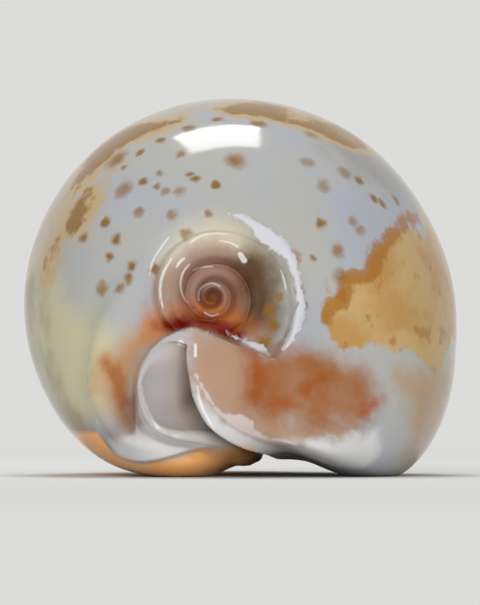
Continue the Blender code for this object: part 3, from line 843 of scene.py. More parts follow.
AREAS = (
    Area("nucleus", Reach.FACE, (Disc(-4.8, 26.3, 1.3),)),
    # painted shade: the small hollow left of the canal, where shade falls
    Area("hollow", Reach.FACE, (Disc(-15.6, 9.2, 2.2, 0.8),), Side.OFF_CROWN),
    outline("tan", Reach.SIDE,
        [(27.6, 38.8), (24.9, 40), (23.4, 37.9), (21.4, 35.9), (19.5, 33.8), (18.5, 31), (14.6, 30.4),
        (14.7, 28.3), (12.6, 26.2), (11.7, 24), (13.2, 20.7), (16.2, 19.2), (19.5, 19.9), (22.5, 18.9),
        (25.2, 19.2), (27.9, 17.4), (34.9, 19.2), (34.9, 35.6)], drifts=True),
    ribbons("tan_edge", Reach.FACE,
        [(27.6, 38.3, .7), (24.9, 39.3, .8), (23.4, 37.2, 1.1), (21.4, 35.2, 1.1), (19.9, 33, 1.3),
        (18.9, 30.6, 1.3), (15.4, 29.4, 1.2), (15.4, 27.6, 1.2), (13.4, 25.8, 1), (12.5, 23.6, .7)]),
    ribbons("tan_band", Reach.BAND,
        [(-10.5, 53.9, .75), (-15.2, 52.1, 1.2), (-19.6, 48.8, 1.3), (-23.5, 44.6, 1.5), (-26.2, 40.4, 1.3),
        (-28.6, 35.9, 1.1), (-30.4, 31.1, .8)],
        [(-.8, 56, .75), (3.1, 55.7, 1.1), (7.2, 54.8, 1.2), (11.4, 53.3, 1.2), (15.6, 50.6, .9)],
        [(-25.6, 38.3, 1.3), (-24.4, 41, 1.5), (-23, 43.6, 1.2)], drifts=True),
    outline("cream", Reach.MIST,
        [(-30.1, 34.1), (-27.1, 26.7), (-22.6, 24.2), (-17.6, 21.9), (-18.9, 9.7), (-27.1, 8.5),
        (-34.9, 19.2), (-34.3, 26.7)]),
    # left rim: partly the shell's darker cream margin, partly painted shade towards the edge
    outline("rim_cream", Reach.MIST,
        [(-36, 34), (-31, 30), (-30.5, 20), (-27.5, 12), (-22.5, 7.5), (-20, 5), (-26, 0), (-36, 8)]),
    outline("blush", Reach.MIST,
        [(23, 16), (26, 15.5), (36, 18), (36, -2), (23.5, -2), (24.5, 3), (26.5, 7), (24.5, 11)]),
    outline("shade", Reach.MIST,
        [(9, 56), (12, 50), (19, 44.5), (26, 40.5), (36, 40), (30, 58)]),
    outline("orange", Reach.FACE,
        [(-.2, 19.2), (3.1, 18.3), (8.7, 19.2), (14, 18), (18.6, 15.6), (20.4, 11.7), (18.9, 9),
        (14.7, 7.8), (8.7, 8), (4.3, 8.7), (.7, 11.4), (-.5, 15.3)]),
    ribbons("orange_spot", Reach.FACE,
        [(-.2, 19.6, .5), (.9, 17.9, 1), (1.7, 15.9, 1.2), (1.5, 13.9, .8), (2.2, 12, .4)],
        [(9.3, 13.3, .7), (10.5, 14.3, 1.2), (12, 15.4, .8)],
        [(18.3, 10, .6), (19.2, 10.7, .9), (20, 11.4, .5)],
        [(3.6, 11, .5), (5.6, 11.4, .9), (8, 10.9, .4)]),
    outline("pink", Reach.FACE,
        [(-6.6, 19.2), (-1.7, 19.9), (.7, 15.9), (3.1, 10.2), (8.7, 8), (16.5, 7.7), (13.2, 6.3),
        (6.5, 5.8), (2.3, 6.9), (-.2, 9), (-2.9, 10.2), (-5, 12.6), (-6.2, 15.3)]),
    outline("dome", Reach.FACE,
        [(-7.6, 23.4), (-4.5, 23.4), (-2, 22.4), (-.5, 20.8), (.6, 17.5), (.8, 14), (-1, 11.4),
        (-3.8, 11.2), (-7.6, 16)], side=Side.ON_CROWN),
    outline("stain", Reach.FACE,
        [(-7.7, 23.4), (-11.4, 24), (-15.2, 22.8), (-18.5, 20.4), (-21.1, 17.4), (-21.7, 13.5),
        (-20.5, 9.9), (-17.9, 7.5), (-14.9, 8), (-14.3, 11.7), (-13.2, 15.5), (-12.3, 18.9),
        (-9.3, 21.6)], side=Side.OFF_CROWN),
    ribbons("streak", Reach.FACE,
        [(-20.2, 17.4, .75), (-19.3, 15.9, 1.05), (-18.3, 13.8, 1.05),
        (-17.4, 11.9, .75)], side=Side.OFF_CROWN),
    # pit floor above the dome: partly its own deep red, partly painted shade at the dome's foot
    ribbons("deep", Reach.FACE,
        [(-11.6, 22.6, .3), (-9.6, 23.2, .6), (-7.4, 23.4, .8), (-4.6, 23.1, 1), (-2.4, 22.3, 1),
        (-.8, 21.4, .5)], side=Side.OFF_CROWN),
    ribbons("glow", Reach.FACE,
        [(-12.4, 23, 1.2), (-9.8, 24.2, 1.2), (-6.8, 24.6, 1), (-4, 23.9, 1), (-.5, 22.4, .8),
        (1.2, 21.8, .4)], side=Side.OFF_CROWN),
    ribbons("pit_top", Reach.FACE,
        [(-11.2, 32, .9), (-8.9, 34.8, 1.3), (-5, 36.2, 1.6), (-1.2, 35.4, 1.5),
        (1, 33.6, .9)], side=Side.OFF_CROWN),
    ribbons("pit_left", Reach.FACE,
        [(-11, 30.6, 1), (-11.6, 28.2, 1.4), (-11.2, 25.6, 1.4), (-9.4, 24.4, .9)], side=Side.OFF_CROWN),
    ribbons("pit_brown", Reach.FACE,
        [(-1.4, 31.5, .4), (-.4, 29.5, .8), (-.6, 27, .9), (-1.6, 24.8, .8)], side=Side.OFF_CROWN),
    # olive tint and painted shade: dark crescent in the deep groove at the pit's right, where shade falls
    ribbons("olive", Reach.FACE,
        [(1.3, 32.3, .6), (2.3, 30.4, 1.1), (2.9, 27.9, 1.3), (2.8, 25.2, 1.1), (1.6, 23.1, .9),
        (-.5, 22, .5)], side=Side.OFF_CROWN),
    ribbons("glint", Reach.GLINT,
        [(-10.7, 36.1, .1), (-12.2, 34.1, .1), (-13.2, 32.3, .1), (-13.6, 30.4, .08)],
        [(-10.3, 32.9, .12), (-11.4, 31.1, .17), (-12, 29.1, .2), (-12, 27.3, .18), (-11.6, 25.5, .1)],
        [(-8.5, 32.9, .15), (-9.2, 32.3, .2), (-9.6, 31.6, .15)],
        [(-5.6, 36.4, .08), (-6.6, 35.9, .1), (-7.5, 35.3, .12)],
        [(-5.3, 36.5, .08), (-3.7, 36.6, .1), (-2, 36.5, .08)],
        [(-3.3, 35.5, .08), (-1.9, 35.3, .12), (-.5, 34.6, .15)],
        [(-.2, 33.5, .4), (.4, 32.6, .45)],
        [(-7.7, 32, .1), (-8.6, 30.9, .14), (-9, 29.4, .15), (-8.8, 27.7, .14), (-8.1, 26.4, .1)],
        [(-7.2, 31.1, .06), (-5.8, 31.6, .09), (-4.3, 31.7, .07)],
        [(-6.3, 26.7, .1), (-6.3, 28, .12), (-5.5, 28.9, .12), (-4.3, 29.2, .12), (-3.2, 28.8, .1)],
        [(-5.5, 24.9, .08), (-4.4, 24.4, .1), (-3.4, 24.7, .08)],
        [(5.8, 31.3, .08), (6.3, 29.8, .12), (6.6, 28.3, .1)],
        [(-14.7, 14.1, .08), (-14.3, 11.6, .15), (-13.5, 9.8, .2), (-12.3, 7.8, .2)],
        [(-10.1, 6.8, .15), (-9, 6.3, .15)],
        [(-6.1, 5.6, .12), (-3.1, 5.3, .12)],
        [(-9, 20.4, .45), (-8.9, 18.3, .35)],
        [(-6.8, 20.1, .22), (-6.8, 18.5, .2)],
        [(-6.5, 14, .12), (-6.1, 11.7, .22), (-5.2, 9.6, .2), (-4, 7.7, .12)]),
    Area("callus", Reach.CALLUS, (
        Patch([
            (-8.3, 14), (-6.9, 13.2), (-5.9, 11.9), (-4.4, 10), (-2.2, 8.3), (1.6, 6.3), (6.5, 5),
            (11.7, 5.5), (17.7, 6.6), (20.5, 7.2), (22, 5), (21.5, -1), (16.7, -2), (11.7, -1), (2.9, 1.1),
            (-2.8, 3.6), (-6.8, 5.9), (-8.6, 8), (-9.8, 10.7), (-9, 13)]),
        Patch([
            (-21.5, 4), (-19.5, 5.4), (-17.8, 5.9), (-15.6, 6.3), (-14, 7.6), (-12.8, 7.7), (-9.8, 7.5),
            (-6.1, 6.5), (-1.6, 5.9), (-1.6, 3), (-8.7, 2), (-12, 1.5), (-18.3, 1.4)]))))


@dataclass(frozen=True)
class Markings:
    """Where each colour lies. Every field is a depth in millimetres: positive inside the colour."""

    surface: ShellSurface
    areas: Tuple[Area, ...] = AREAS
    dish_corner: Pair = (-3.0, 5.0)
    ledge_angles: Pair = (-135.0, -60.0)
    ledge_front: float = -15.0
    ledge_side: float = 2.0
    ledge_top: float = 5.4
    ledge_overlap: float = 0.2
    base_top: float = 7.0
    base_front: float = -34.0
    base_side: float = 4.0
    deepest_pit: float = 12.0
    hidden_depth: float = 3.0

    def fields(self, point: Array, row: Array, inside: Array) -> Dict[str, Array]:
        """Depths of every colour at the given points.

        Args:
            point: Points in millimetres.
            row: Row of each point.
            inside: Depth into the chamber, negative outside.

        Returns:
            One array of depths for each colour's name.
        """
        x, z = point[..., 0], point[..., 2]
        radius, place = self.surface.whorl.polar(point)
        face = Reach.FACE.depth(point)
        crown = self.surface.crown.depth_inside(point)
        depths = {area.name: area.depth(point, crown) for area in self.areas}
        left, low = self.dish_corner
        depths["dish"] = np.min([crown + CROWN_OVERLAP, left - x, z - low, face], axis=0)
        for name, rim in (("pit", self.surface.pit.edge), ("coils", self.surface.pit.coils)):
            within = np.where(row < self.surface.pit_rows, rim(place) - radius, FAR_OFF)
            depths[name] = np.clip(np.minimum(within, -crown), FAR_OFF, self.deepest_pit)
        under, base = self.under_ledge(point), self.base(point)
        depths["apricot"] = np.clip(np.maximum(under, base), FAR_OFF, -FAR_OFF)
        callus = depths["callus"]
        depths["callus"] = np.where(under > -self.ledge_overlap, np.minimum(callus, -under), callus)
        depths["crown"] = crown
        # raised callus ribbons with a painted highlight: ragged white lines where light catches their edges
        depths["ribbon"] = np.minimum(self.surface.callus.ribbons(point), face)
        depths["rear"] = Reach.REAR.depth(point)
        for name in set(depths) - {"glint"}:
            depths[name] = np.where(inside > self.hidden_depth, FAR_OFF, depths[name])
        depths["inside"] = inside
        return depths

    def under_ledge(self, point: Array) -> Array:
        """How far points are below the callus's ledge.

        Args:
            point: Points in millimetres.

        Returns:
            One depth for each point, negative above the ledge.
        """
        radius, place = self.surface.whorl.polar(point)
        first, last = self.ledge_angles
        near = (place > first) & (place < last) & (point[..., 1] < self.ledge_front)
        near = near & (point[..., 0] < self.ledge_side)
        under = np.where(near, radius - self.surface.callus.ledge(place), FAR_OFF)
        return np.minimum(under, self.ledge_top - point[..., 2])

    def base(self, point: Array) -> Array:
        """How far points are inside the warm base behind the spire end.

        Args:
            point: Points in millimetres.

        Returns:
            One depth for each point, negative outside.
        """
        x, y, z = point[..., 0], point[..., 1], point[..., 2]
        return np.min([self.base_top - z, y - self.base_front, self.base_side - x], axis=0)


def finished(name: str, mesh: bmesh.types.BMesh) -> bpy.types.Object:
    """Turn a mesh into an object of the scene.

    Args:
        name: Name of the object and of its mesh.
        mesh: The mesh, freed afterwards.

    Returns:
        The object at the origin, shaded smooth, with its faces out.
    """
    bmesh.ops.recalc_face_normals(mesh, faces=mesh.faces)
    data = bpy.data.meshes.new(name)
    mesh.to_mesh(data)
    mesh.free()
    data.shade_smooth()
    made = bpy.data.objects.new(name, data)
    bpy.context.scene.collection.objects.link(made)
    return made


@dataclass(frozen=True)
class CowrieShell:
    """The whole shell as one closed mesh with its colour fields."""

    surface: ShellSurface = ShellSurface()
    name: str = "shell_looks"
    columns_outside: int = 220
    columns_inside: int = 61
    steps_round_lip: int = 8
    rows_before: int = 52
    rows_canal: Tuple[int, int] = (60, 56)
    canal_ends: Pair = (32.0, 66.0)
    rows_slit: int = 150
    slit_crowding: float = 0.07
    rim_depth: float = 2.0
    deep_inside: float = 6.0
    mouth_share: float = 0.08
    rows_after: int = 5
    crowding: float = 0.45
    weld: float = 0.000002
    foot_level: float = 0.35
    foot_round: float = 0.35
    foot_drop: float = 0.07
    shift: Pair = (0.12, 0.13)

    def row_numbers(self) -> Tuple[Array, Array, Array]:
        """Place the rows along the shell.

        Returns:
            Rows before, along and after the slit.
        """
        first, last = self.surface.chamber.slit
        middle, low = self.canal_ends
        fine, coarse = self.rows_canal
        before = np.linspace(0.0, first, self.rows_before + 1)[:-1]
        canal = (np.linspace(first, middle, fine + 1)[:-1], np.linspace(middle, low, coarse + 1)[:-1])
        share = np.linspace(0.0, 1.0, self.rows_slit + 1)
        slit = low + (last - low) * (share + self.slit_crowding * np.sin(2.0 * np.pi * share))
        slit[-1] = last
        after = np.linspace(last, LAST_ROW, self.rows_after + 1)[1:]
        return before, np.concatenate([*canal, slit]), after

    def turns(self, count: int) -> Array:
        """Shares of a turn from lip to lip, closer together near the lips."""
        share = np.linspace(0.0, 1.0, count + 1)
        return share - self.crowding * np.sin(2.0 * np.pi * share) / (2.0 * np.pi)

    def stand(self, points: Array) -> Array:
        """Carry points to the frame and flatten the base where the shell rests.

        Args:
            points: Points in millimetres.

        Returns:
            One row of X, Y and Z for each point, in metres.
        """
        flat = points.reshape(-1, 3).copy()
        flat[:, :2] += self.shift
        lifted = flat[:, 2] - self.foot_level
        rounded = 0.5 * (lifted + np.hypot(lifted, self.foot_round))
        flat[:, 2] = np.maximum(rounded - self.foot_drop, 0.0)
        return flat * MILLIMETRE

    def add_patch(self, mesh: bmesh.types.BMesh, points: Array, depths: Dict[str, Array]) -> None:
        """Add a grid of faces.

        Args:
            mesh: The mesh to add it to.
            points: Rows of corners in millimetres.
            depths: Colour depths at the corners.
        """
        rows, columns = points.shape[:2]
        corners = bmesh.ops.create_grid(mesh, x_segments=columns - 1, y_segments=rows - 1, size=1.0)["verts"]
        layers = [(mesh.verts.layers.float[name], value.reshape(-1).tolist())
                  for name, value in depths.items()]
        for i, (vertex, place) in enumerate(zip(corners, self.stand(points).tolist())):
            vertex.co = place
            for layer, values in layers:
                vertex[layer] = values[i]

    def patches(self) -> Tuple[Tuple[Array, Array, Array], ...]:
        """Lay out the outside, both lips and the chamber so that they meet along their edges.

        Returns:
            Points, rows and depth into the chamber of each patch.
        """
        surface = self.surface
        before, along, after = self.row_numbers()
        rows, slit = np.concatenate([before, along, after])[:, None], along[:, None]
        outside = surface.outside(self.turns(self.columns_outside)[None, :], rows)
        first, last = len(before), len(before) + len(along) - 1
        outside[:first + 1, -1] = outside[:first + 1, 0]
        outside[last:, -1] = outside[last:, 0]
        outside[0], outside[-1] = outside[0, 0], outside[-1, 0]
        steps = np.linspace(0.0, 1.0, self.steps_round_lip + 1)[None, :]
        inner_rim, outer_rim = [lip.surface(steps, slit) for lip in (surface.inner, surface.outer)]
        inner_rim[:, 0] = outside[first:last + 1, 0]
        outer_rim[:, 0] = outside[first:last + 1, -1]
        turns = self.turns(self.columns_inside)[None, :]
        chamber = surface.chamber.points(surface.whorl, surface.inner, surface.outer, turns, slit)
        chamber[:, 0], chamber[:, -1] = inner_rim[:, -1], outer_rim[:, -1]
        half = (self.columns_inside + 1) // 2
        for end in (0, -1):
            chamber[end, half:] = chamber[end, :half][::-1]
        rim_depth = self.rim_depth * (2.0 * steps - 1.0)
        inwards = ease(0.0, self.mouth_share, 0.5 - np.abs(turns - 0.5))
        within = self.rim_depth + (self.deep_inside - self.rim_depth) * inwards
        grids = ((outside, rows, np.array(FAR_OFF)), (inner_rim, slit, rim_depth),
                 (outer_rim, slit, rim_depth), (chamber, slit, within))
        return tuple((points, *(np.broadcast_to(values, points.shape[:2]) for values in (row, depth)))
                     for points, row, depth in grids)

    def build(self) -> bpy.types.Object:
        """Make the shell.

        Returns:
            The shell's object, at the origin, with its place in its mesh.
        """
        markings = Markings(self.surface)
        patches = self.patches()
        depths = [markings.fields(*patch) for patch in patches]
        mesh = bmesh.new()
        for name in depths[0]:
            mesh.verts.layers.float.new(name)
        for patch, fields in zip(patches, depths):
            self.add_patch(mesh, patch[0], fields)
        bmesh.ops.remove_doubles(mesh, verts=mesh.verts, dist=self.weld)
        shell = finished(self.name, mesh)
        triangles = sum(len(face.vertices) - 2 for face in shell.data.polygons)
        log.info("%s has %d triangles", self.name, triangles)
        return shell


def tint(tone: Rgb) -> Tuple[float, float, float, float]:
    """Turn display values between 0 and 255 into a linear colour.

    Args:
        tone: Red, green and blue.

    Returns:
        Red, green, blue and a full alpha.
    """
    shares = [value / 255.0 for value in tone]
    linear = [share / 12.92 if share <= 0.04045 else ((share + 0.055) / 1.055) ** 2.4 for share in shares]
    return (linear[0], linear[1], linear[2], 1.0)


class Bench:
    """Places and joins the nodes of one tree."""

    def __init__(self, tree: bpy.types.NodeTree) -> None:
        """Work on a tree."""
        self.tree = tree

    def add(self, kind: str, **settings: object) -> bpy.types.Node:
        """Add a node.

        Args:
            kind: The node's type.
            settings: Its properties.

        Returns:
            The node.
        """
        node = self.tree.nodes.new(kind)
        for name, value in settings.items():
            setattr(node, name, value)
        return node

    def feed(self, socket: Socket, value: object) -> None:
        """Join a socket to another, or set it to a plain value.

        Args:
            socket: The input.
            value: An output of another node, a tone or a plain value.
        """
        if isinstance(value, bpy.types.NodeSocket):
            self.tree.links.new(value, socket)
        elif socket.type == "RGBA":
            socket.default_value = tint(value)
        else:
            socket.default_value = value

    def feed_all(self, node: bpy.types.Node, *values: object) -> bpy.types.Node:
        """Feed a node's inputs in order.

        Args:
            node: The node.
            values: One value for each of its first inputs.

        Returns:
            The same node.
        """
        for socket, value in zip(node.inputs, values):
            self.feed(socket, value)
        return node

    def math(self, operation: str, *values: object) -> Socket:
        """Result of a math node."""
        return self.feed_all(self.add("ShaderNodeMath", operation=operation), *values).outputs[0]

    def vector(self, operation: str, *values: object) -> bpy.types.Node:
        """Vector math node."""
        return self.feed_all(self.add("ShaderNodeVectorMath", operation=operation), *values)

    def layer(self, under: object, over: object, mask: object) -> Socket:
        """Lay a colour over another through a mask.

        Args:
            under: The lower colour.
            over: The upper colour.
            mask: 1 where the upper colour shows.

        Returns:
            The mixed colour.
        """
        node = self.add("ShaderNodeMix", data_type="RGBA")
        for index, value in ((0, mask), (6, under), (7, over)):
            self.feed(node.inputs[index], value)
        return node.outputs[2]

    def noise(self, scale: object, detail: float = 2.0, roughness: float = 0.5) -> bpy.types.Node:
        """Noise texture over the object, scale in features per metre.

        Args:
            scale: Its scale.
            detail: Its octaves.
            roughness: Strength of the finer octaves.

        Returns:
            The node.
        """
        node = self.add("ShaderNodeTexNoise")
        for name, value in (("Vector", self.place()), ("Scale", scale), ("Detail", detail),
                            ("Roughness", roughness)):
            self.feed(node.inputs[name], value)
        return node

    def wobble(self, scale: float, reach: float, centre: float = 0.0) -> Socket:
        """Object coordinates shaken by noise.

        Args:
            scale: Features per metre.
            reach: How far they move, in metres.
            centre: Noise value that moves nothing.

        Returns:
            The shaken coordinates.
        """
        swing = self.vector("SUBTRACT", self.noise(scale).outputs["Color"], (centre,) * 3).outputs[0]
        return self.vector("MULTIPLY_ADD", swing, (reach,) * 3, self.place()).outputs[0]

    def place(self) -> Socket:
        """Object coordinates."""
        return self.add("ShaderNodeTexCoord").outputs["Object"]

    def axes(self) -> Sequence[Socket]:
        """X, Y and Z of the object coordinates."""
        return self.feed_all(self.add("ShaderNodeSeparateXYZ"), self.place()).outputs

    def step(self, value: object, low: float, high: float) -> Socket:
        """Smooth step of a value between two limits."""
        node = self.add("ShaderNodeMapRange", interpolation_type="SMOOTHSTEP")
        return self.feed_all(node, value, low, high).outputs["Result"]

    def seen(self) -> Socket:
        """Tell what is looked at from what is only lit.

        Returns:
            1 for rays from the camera, in reflections and through clear things.
        """
        rays = self.add("ShaderNodeLightPath").outputs
        seen = self.math("MAXIMUM", rays["Is Camera Ray"], rays["Is Glossy Ray"])
        return self.math("MAXIMUM", seen, rays["Is Transmission Ray"])


def new_group(name: str, takes: Sequence[Tuple[str, object]],
              gives: Sequence[str]) -> Tuple[Bench, Sockets, Sockets]:
    """Start a shader node group.

    Args:
        name: The group's name.
        takes: Name and default value of each input. One without a value is a vector.
        gives: Name of each output, all plain numbers.

    Returns:
        A bench on the group, what the group is given, and what it gives back.
    """
    group = bpy.data.node_groups.new(name, "ShaderNodeTree")
    for socket_name, default in takes:
        kind = "NodeSocketVector" if default is None else "NodeSocketFloat"
        socket = group.interface.new_socket(name=socket_name, in_out="INPUT", socket_type=kind)
        if default is not None:
            socket.default_value = default
    for socket_name in gives:
        group.interface.new_socket(name=socket_name, in_out="OUTPUT", socket_type="NodeSocketFloat")
    bench = Bench(group)
    return bench, bench.add("NodeGroupInput").outputs, bench.add("NodeGroupOutput").inputs


class EdgeKind(Enum):
    """How a colour ends: reach of its ragged edge in millimetres, noise scale and softness."""

    MISTY = (1.6, 160.0, 2.6)
    SOFT = (1.2, 260.0, 1.2)
    TORN = (0.8, 520.0, 0.5)
    FRAYED = (0.42, 900.0, 0.16)
    FINE = (0.05, 500.0, 0.12)
    CLEAN = (0.0, 300.0, 0.5)


class Mottle(Enum):
    """Noise cut into a mask: features per metre, detail, roughness, and where it starts and is full."""

    CLOUDY = (45.0, 2.0, 0.5, 0.35, 0.65)
    PATCHY = (66.0, 6.0, 0.62, 0.525, 0.56)
    TAN = (130.0, 3.0, 0.5, 0.38, 0.62)
    DARK_TAN = (340.0, 3.0, 0.5, 0.56, 0.66)
    BLOTCHY = (190.0, 3.0, 0.5, 0.36, 0.66)
    FAINT = (150.0, 1.0, 0.5, 0.35, 0.6)
    PAPER = (3.0, 2.0, 0.5, 0.3, 0.7)

    def mask(self, bench: Bench) -> Socket:
        """The mask on a bench."""
        scale, detail, roughness, low, high = self.value
        return bench.step(bench.noise(scale, detail, roughness).outputs["Fac"], low, high)


def ragged_edge_group() -> bpy.types.NodeTree:
    """Group that turns a colour's depth into a mask with a noisy edge.

    Returns:
        The group.
    """
    takes = (("Depth", 0.0), ("Reach", 1.0), ("Scale", 300.0), ("Softness", 0.5))
    bench, given, result = new_group("ragged_edge", takes, ("Mask",))
    noise = bench.noise(given["Scale"], 4.0, 0.6).outputs["Fac"]
    swing = bench.math("MULTIPLY", bench.math("SUBTRACT", noise, 0.5), 4.0)
    moved = bench.math("MULTIPLY_ADD", swing, given["Reach"], given["Depth"])
    bench.feed(result["Mask"], bench.step(bench.math("DIVIDE", moved, given["Softness"]), -1.0, 1.0))
    return bench.tree


def spot_group() -> bpy.types.NodeTree:
    """Group that adds one round spot to the spots before it, by its depth as a share of its size.

    Returns:
        The group.
    """
    takes = (("Before", -1.0), ("Place", None), ("Centre", None), ("Size", 0.001))
    bench, given, result = new_group("spot", takes, ("Depth",))
    gap = bench.vector("DISTANCE", given["Place"], given["Centre"]).outputs["Value"]
    share = bench.math("DIVIDE", gap, given["Size"])
    bench.feed(result["Depth"], bench.math("MAXIMUM", bench.math("SUBTRACT", 1.0, share), given["Before"]))
    return bench.tree


def whorl_group(pit: SpirePit, axis: Pair) -> bpy.types.NodeTree:
    """Group that gives the rounded relief of the whorls in the pit and the fine line between them.

    Args:
        pit: The pit, for its growth and its start.
        axis: Place of the coiling axis across X and Z on the finished shell, in millimetres.

    Returns:
        The group.
    """
    tallest, squareness, line_share, line_width = 6.0, 4.0, 0.35, (0.02, 0.22)
    bench, _, result = new_group("whorls", (), ("Crest", "Groove"))
    place = bench.axes()
    across = bench.math("MULTIPLY_ADD", place["X"], 1.0 / MILLIMETRE, -axis[0])
    height = bench.math("MULTIPLY_ADD", place["Z"], 1.0 / MILLIMETRE, -axis[1])
    squares = bench.math("MULTIPLY_ADD", across, across, bench.math("MULTIPLY", height, height))
    radius = bench.math("SQRT", squares)
    angle = bench.math("ARCTAN2", height, across)
    turn = bench.math("FRACT", bench.math("MULTIPLY_ADD", angle, -0.5 / np.pi, 1.5))
    reach = bench.math("LOGARITHM", bench.math("MULTIPLY", radius, 1.0 / pit.start), pit.growth)
    part = bench.math("FRACT", bench.math("ADD", bench.math("SUBTRACT", reach, turn), 20.0))
    off = bench.math("ABSOLUTE", bench.math("MULTIPLY_ADD", part, 2.0, -1.0))
    crest = bench.math("SQRT", bench.math("SUBTRACT", 1.0, bench.math("POWER", off, squareness)))
    bench.feed(result["Crest"], bench.math("MULTIPLY", crest, bench.math("MINIMUM", radius, tallest)))
    room = bench.math("MULTIPLY", bench.math("SUBTRACT", 1.0, off), radius)
    line = bench.step(bench.math("MULTIPLY", room, line_share), *line_width)
    bench.feed(result["Groove"], bench.math("SUBTRACT", 1.0, line))
    return bench.tree


@dataclass(frozen=True)
class Speckles:
    """Spots on the spire end: X, Z and size of each, in millimetres."""

    spots: Rows = (
        (-19, 48.2, 1.5), (-18.2, 43.3, 1.2), (-15.3, 49.2, .6), (-17.7, 46.8, .5), (-15.2, 44.6, .6),
        (-12.9, 44.1, .5), (-11.7, 43.1, .6), (-9.5, 43.4, .7), (-12.8, 45.8, .5), (-7.1, 45.3, .6),
        (-8, 46.1, .5), (-4.1, 44.3, .6), (-10.8, 40, .7), (-15.9, 40, .7), (-21, 38.6, .7),
        (-19, 36.4, .7), (-19.9, 33.7, .6), (-4.7, 40, .6), (-8.3, 37, .7), (-16.8, 31.9, .7),
        (-17.1, 30.4, .7), (-21.1, 28.6, .9), (-18.6, 28.8, .7), (-30, 32.9, .7), (-30.1, 31.4, .6),
        (-24.3, 35.9, .7), (-.5, 48.2, 1.3), (-9.5, 49.1, .7), (-12.5, 51, .7), (-8.3, 52.7, .9),
        (-4.1, 54, .7), (2.3, 53.6, 1), (9.8, 48, .9), (12.6, 44.3, .9), (15.9, 46.1, .9), (17.6, 45, .7),
        (20.1, 42.5, .7), (21.1, 41.5, .7), (23.5, 42.2, .7), (17, 38.9, .7), (17.9, 37.7, .7),
        (12.5, 38.6, .7), (14.9, 34.4, .9), (8.4, 33.1, .9), (11.3, 33.2, .4), (15, 30.4, 1),
        (9.6, 26.1, .7), (8.6, 28.8, .7), (6.1, 27.4, .6), (3.8, 25.6, .9), (5.3, 23.4, .7),
        (6.3, 21.9, .7), (3.7, 20.5, 1), (10.4, 52.1, .9), (-12.3, 30.9, .7))
    front: float = -8.0
    shift: Pair = (0.12, -0.35)
    reach: float = 0.6
    swell: float = 1.6

    def centres(self, shell: bpy.types.Object) -> List[Tuple[Vector, float]]:
        """Drop the spots onto the spire end.

        Args:
            shell: The finished shell.

        Returns:
            Centre and size of each, in metres.
        """
        places = np.empty(len(shell.data.vertices) * 3)
        shell.data.vertices.foreach_get("co", places)
        places = places.reshape(-1, 3)
        near_end = places[places[:, 1] < self.front * MILLIMETRE]
        found = []
        for x, z, size in self.spots:
            spot_x, spot_z = (x + self.shift[0]) * MILLIMETRE, (z + self.shift[1]) * MILLIMETRE
            gap = np.hypot(near_end[:, 0] - spot_x, near_end[:, 2] - spot_z)
            near = near_end[gap < gap.min() + self.reach * MILLIMETRE]
            found.append((Vector(near[near[:, 1].argmin()].tolist()), size * self.swell * MILLIMETRE))
        return found


@dataclass
class Painter:
    """Lays one colour of the shell over another, each through the mask of its marking."""

    bench: Bench
    ragged: bpy.types.NodeTree
    colour: object

    def depth(self, field: str) -> Socket:
        """Depth inside a marking, in millimetres."""
        return self.bench.add("ShaderNodeAttribute", attribute_name=field).outputs["Fac"]

    def mask(self, field: str, edge: EdgeKind, lift: float = 0.0) -> Socket:
        """Mask of a marking.

        Args:
            field: Name of its depths.
            edge: How it ends.
            lift: How far it is grown, in millimetres.

        Returns:
            1 inside and 0 outside.
        """
        depth = self.depth(field)
        if lift:
            depth = self.bench.math("ADD", depth, lift)
        node = self.bench.add("ShaderNodeGroup", node_tree=self.ragged)
        return self.bench.feed_all(node, depth, *edge.value).outputs["Mask"]

    def lay(self, tone: object, mask: Socket, share: float = 1.0) -> None:
        """Lay a colour through a mask.

        Args:
            tone: The colour.
            mask: Where it shows.
            share: How strongly it shows there.
        """
        if share < 1.0:
            mask = self.bench.math("MULTIPLY", mask, share)
        self.colour = self.bench.layer(self.colour, tone, mask)

    def cover(self, field: str, tone: object, edge: EdgeKind, lift: float = 0.0, share: float = 1.0) -> None:
        """Lay a colour over a marking."""
        self.lay(tone, self.mask(field, edge, lift), share)


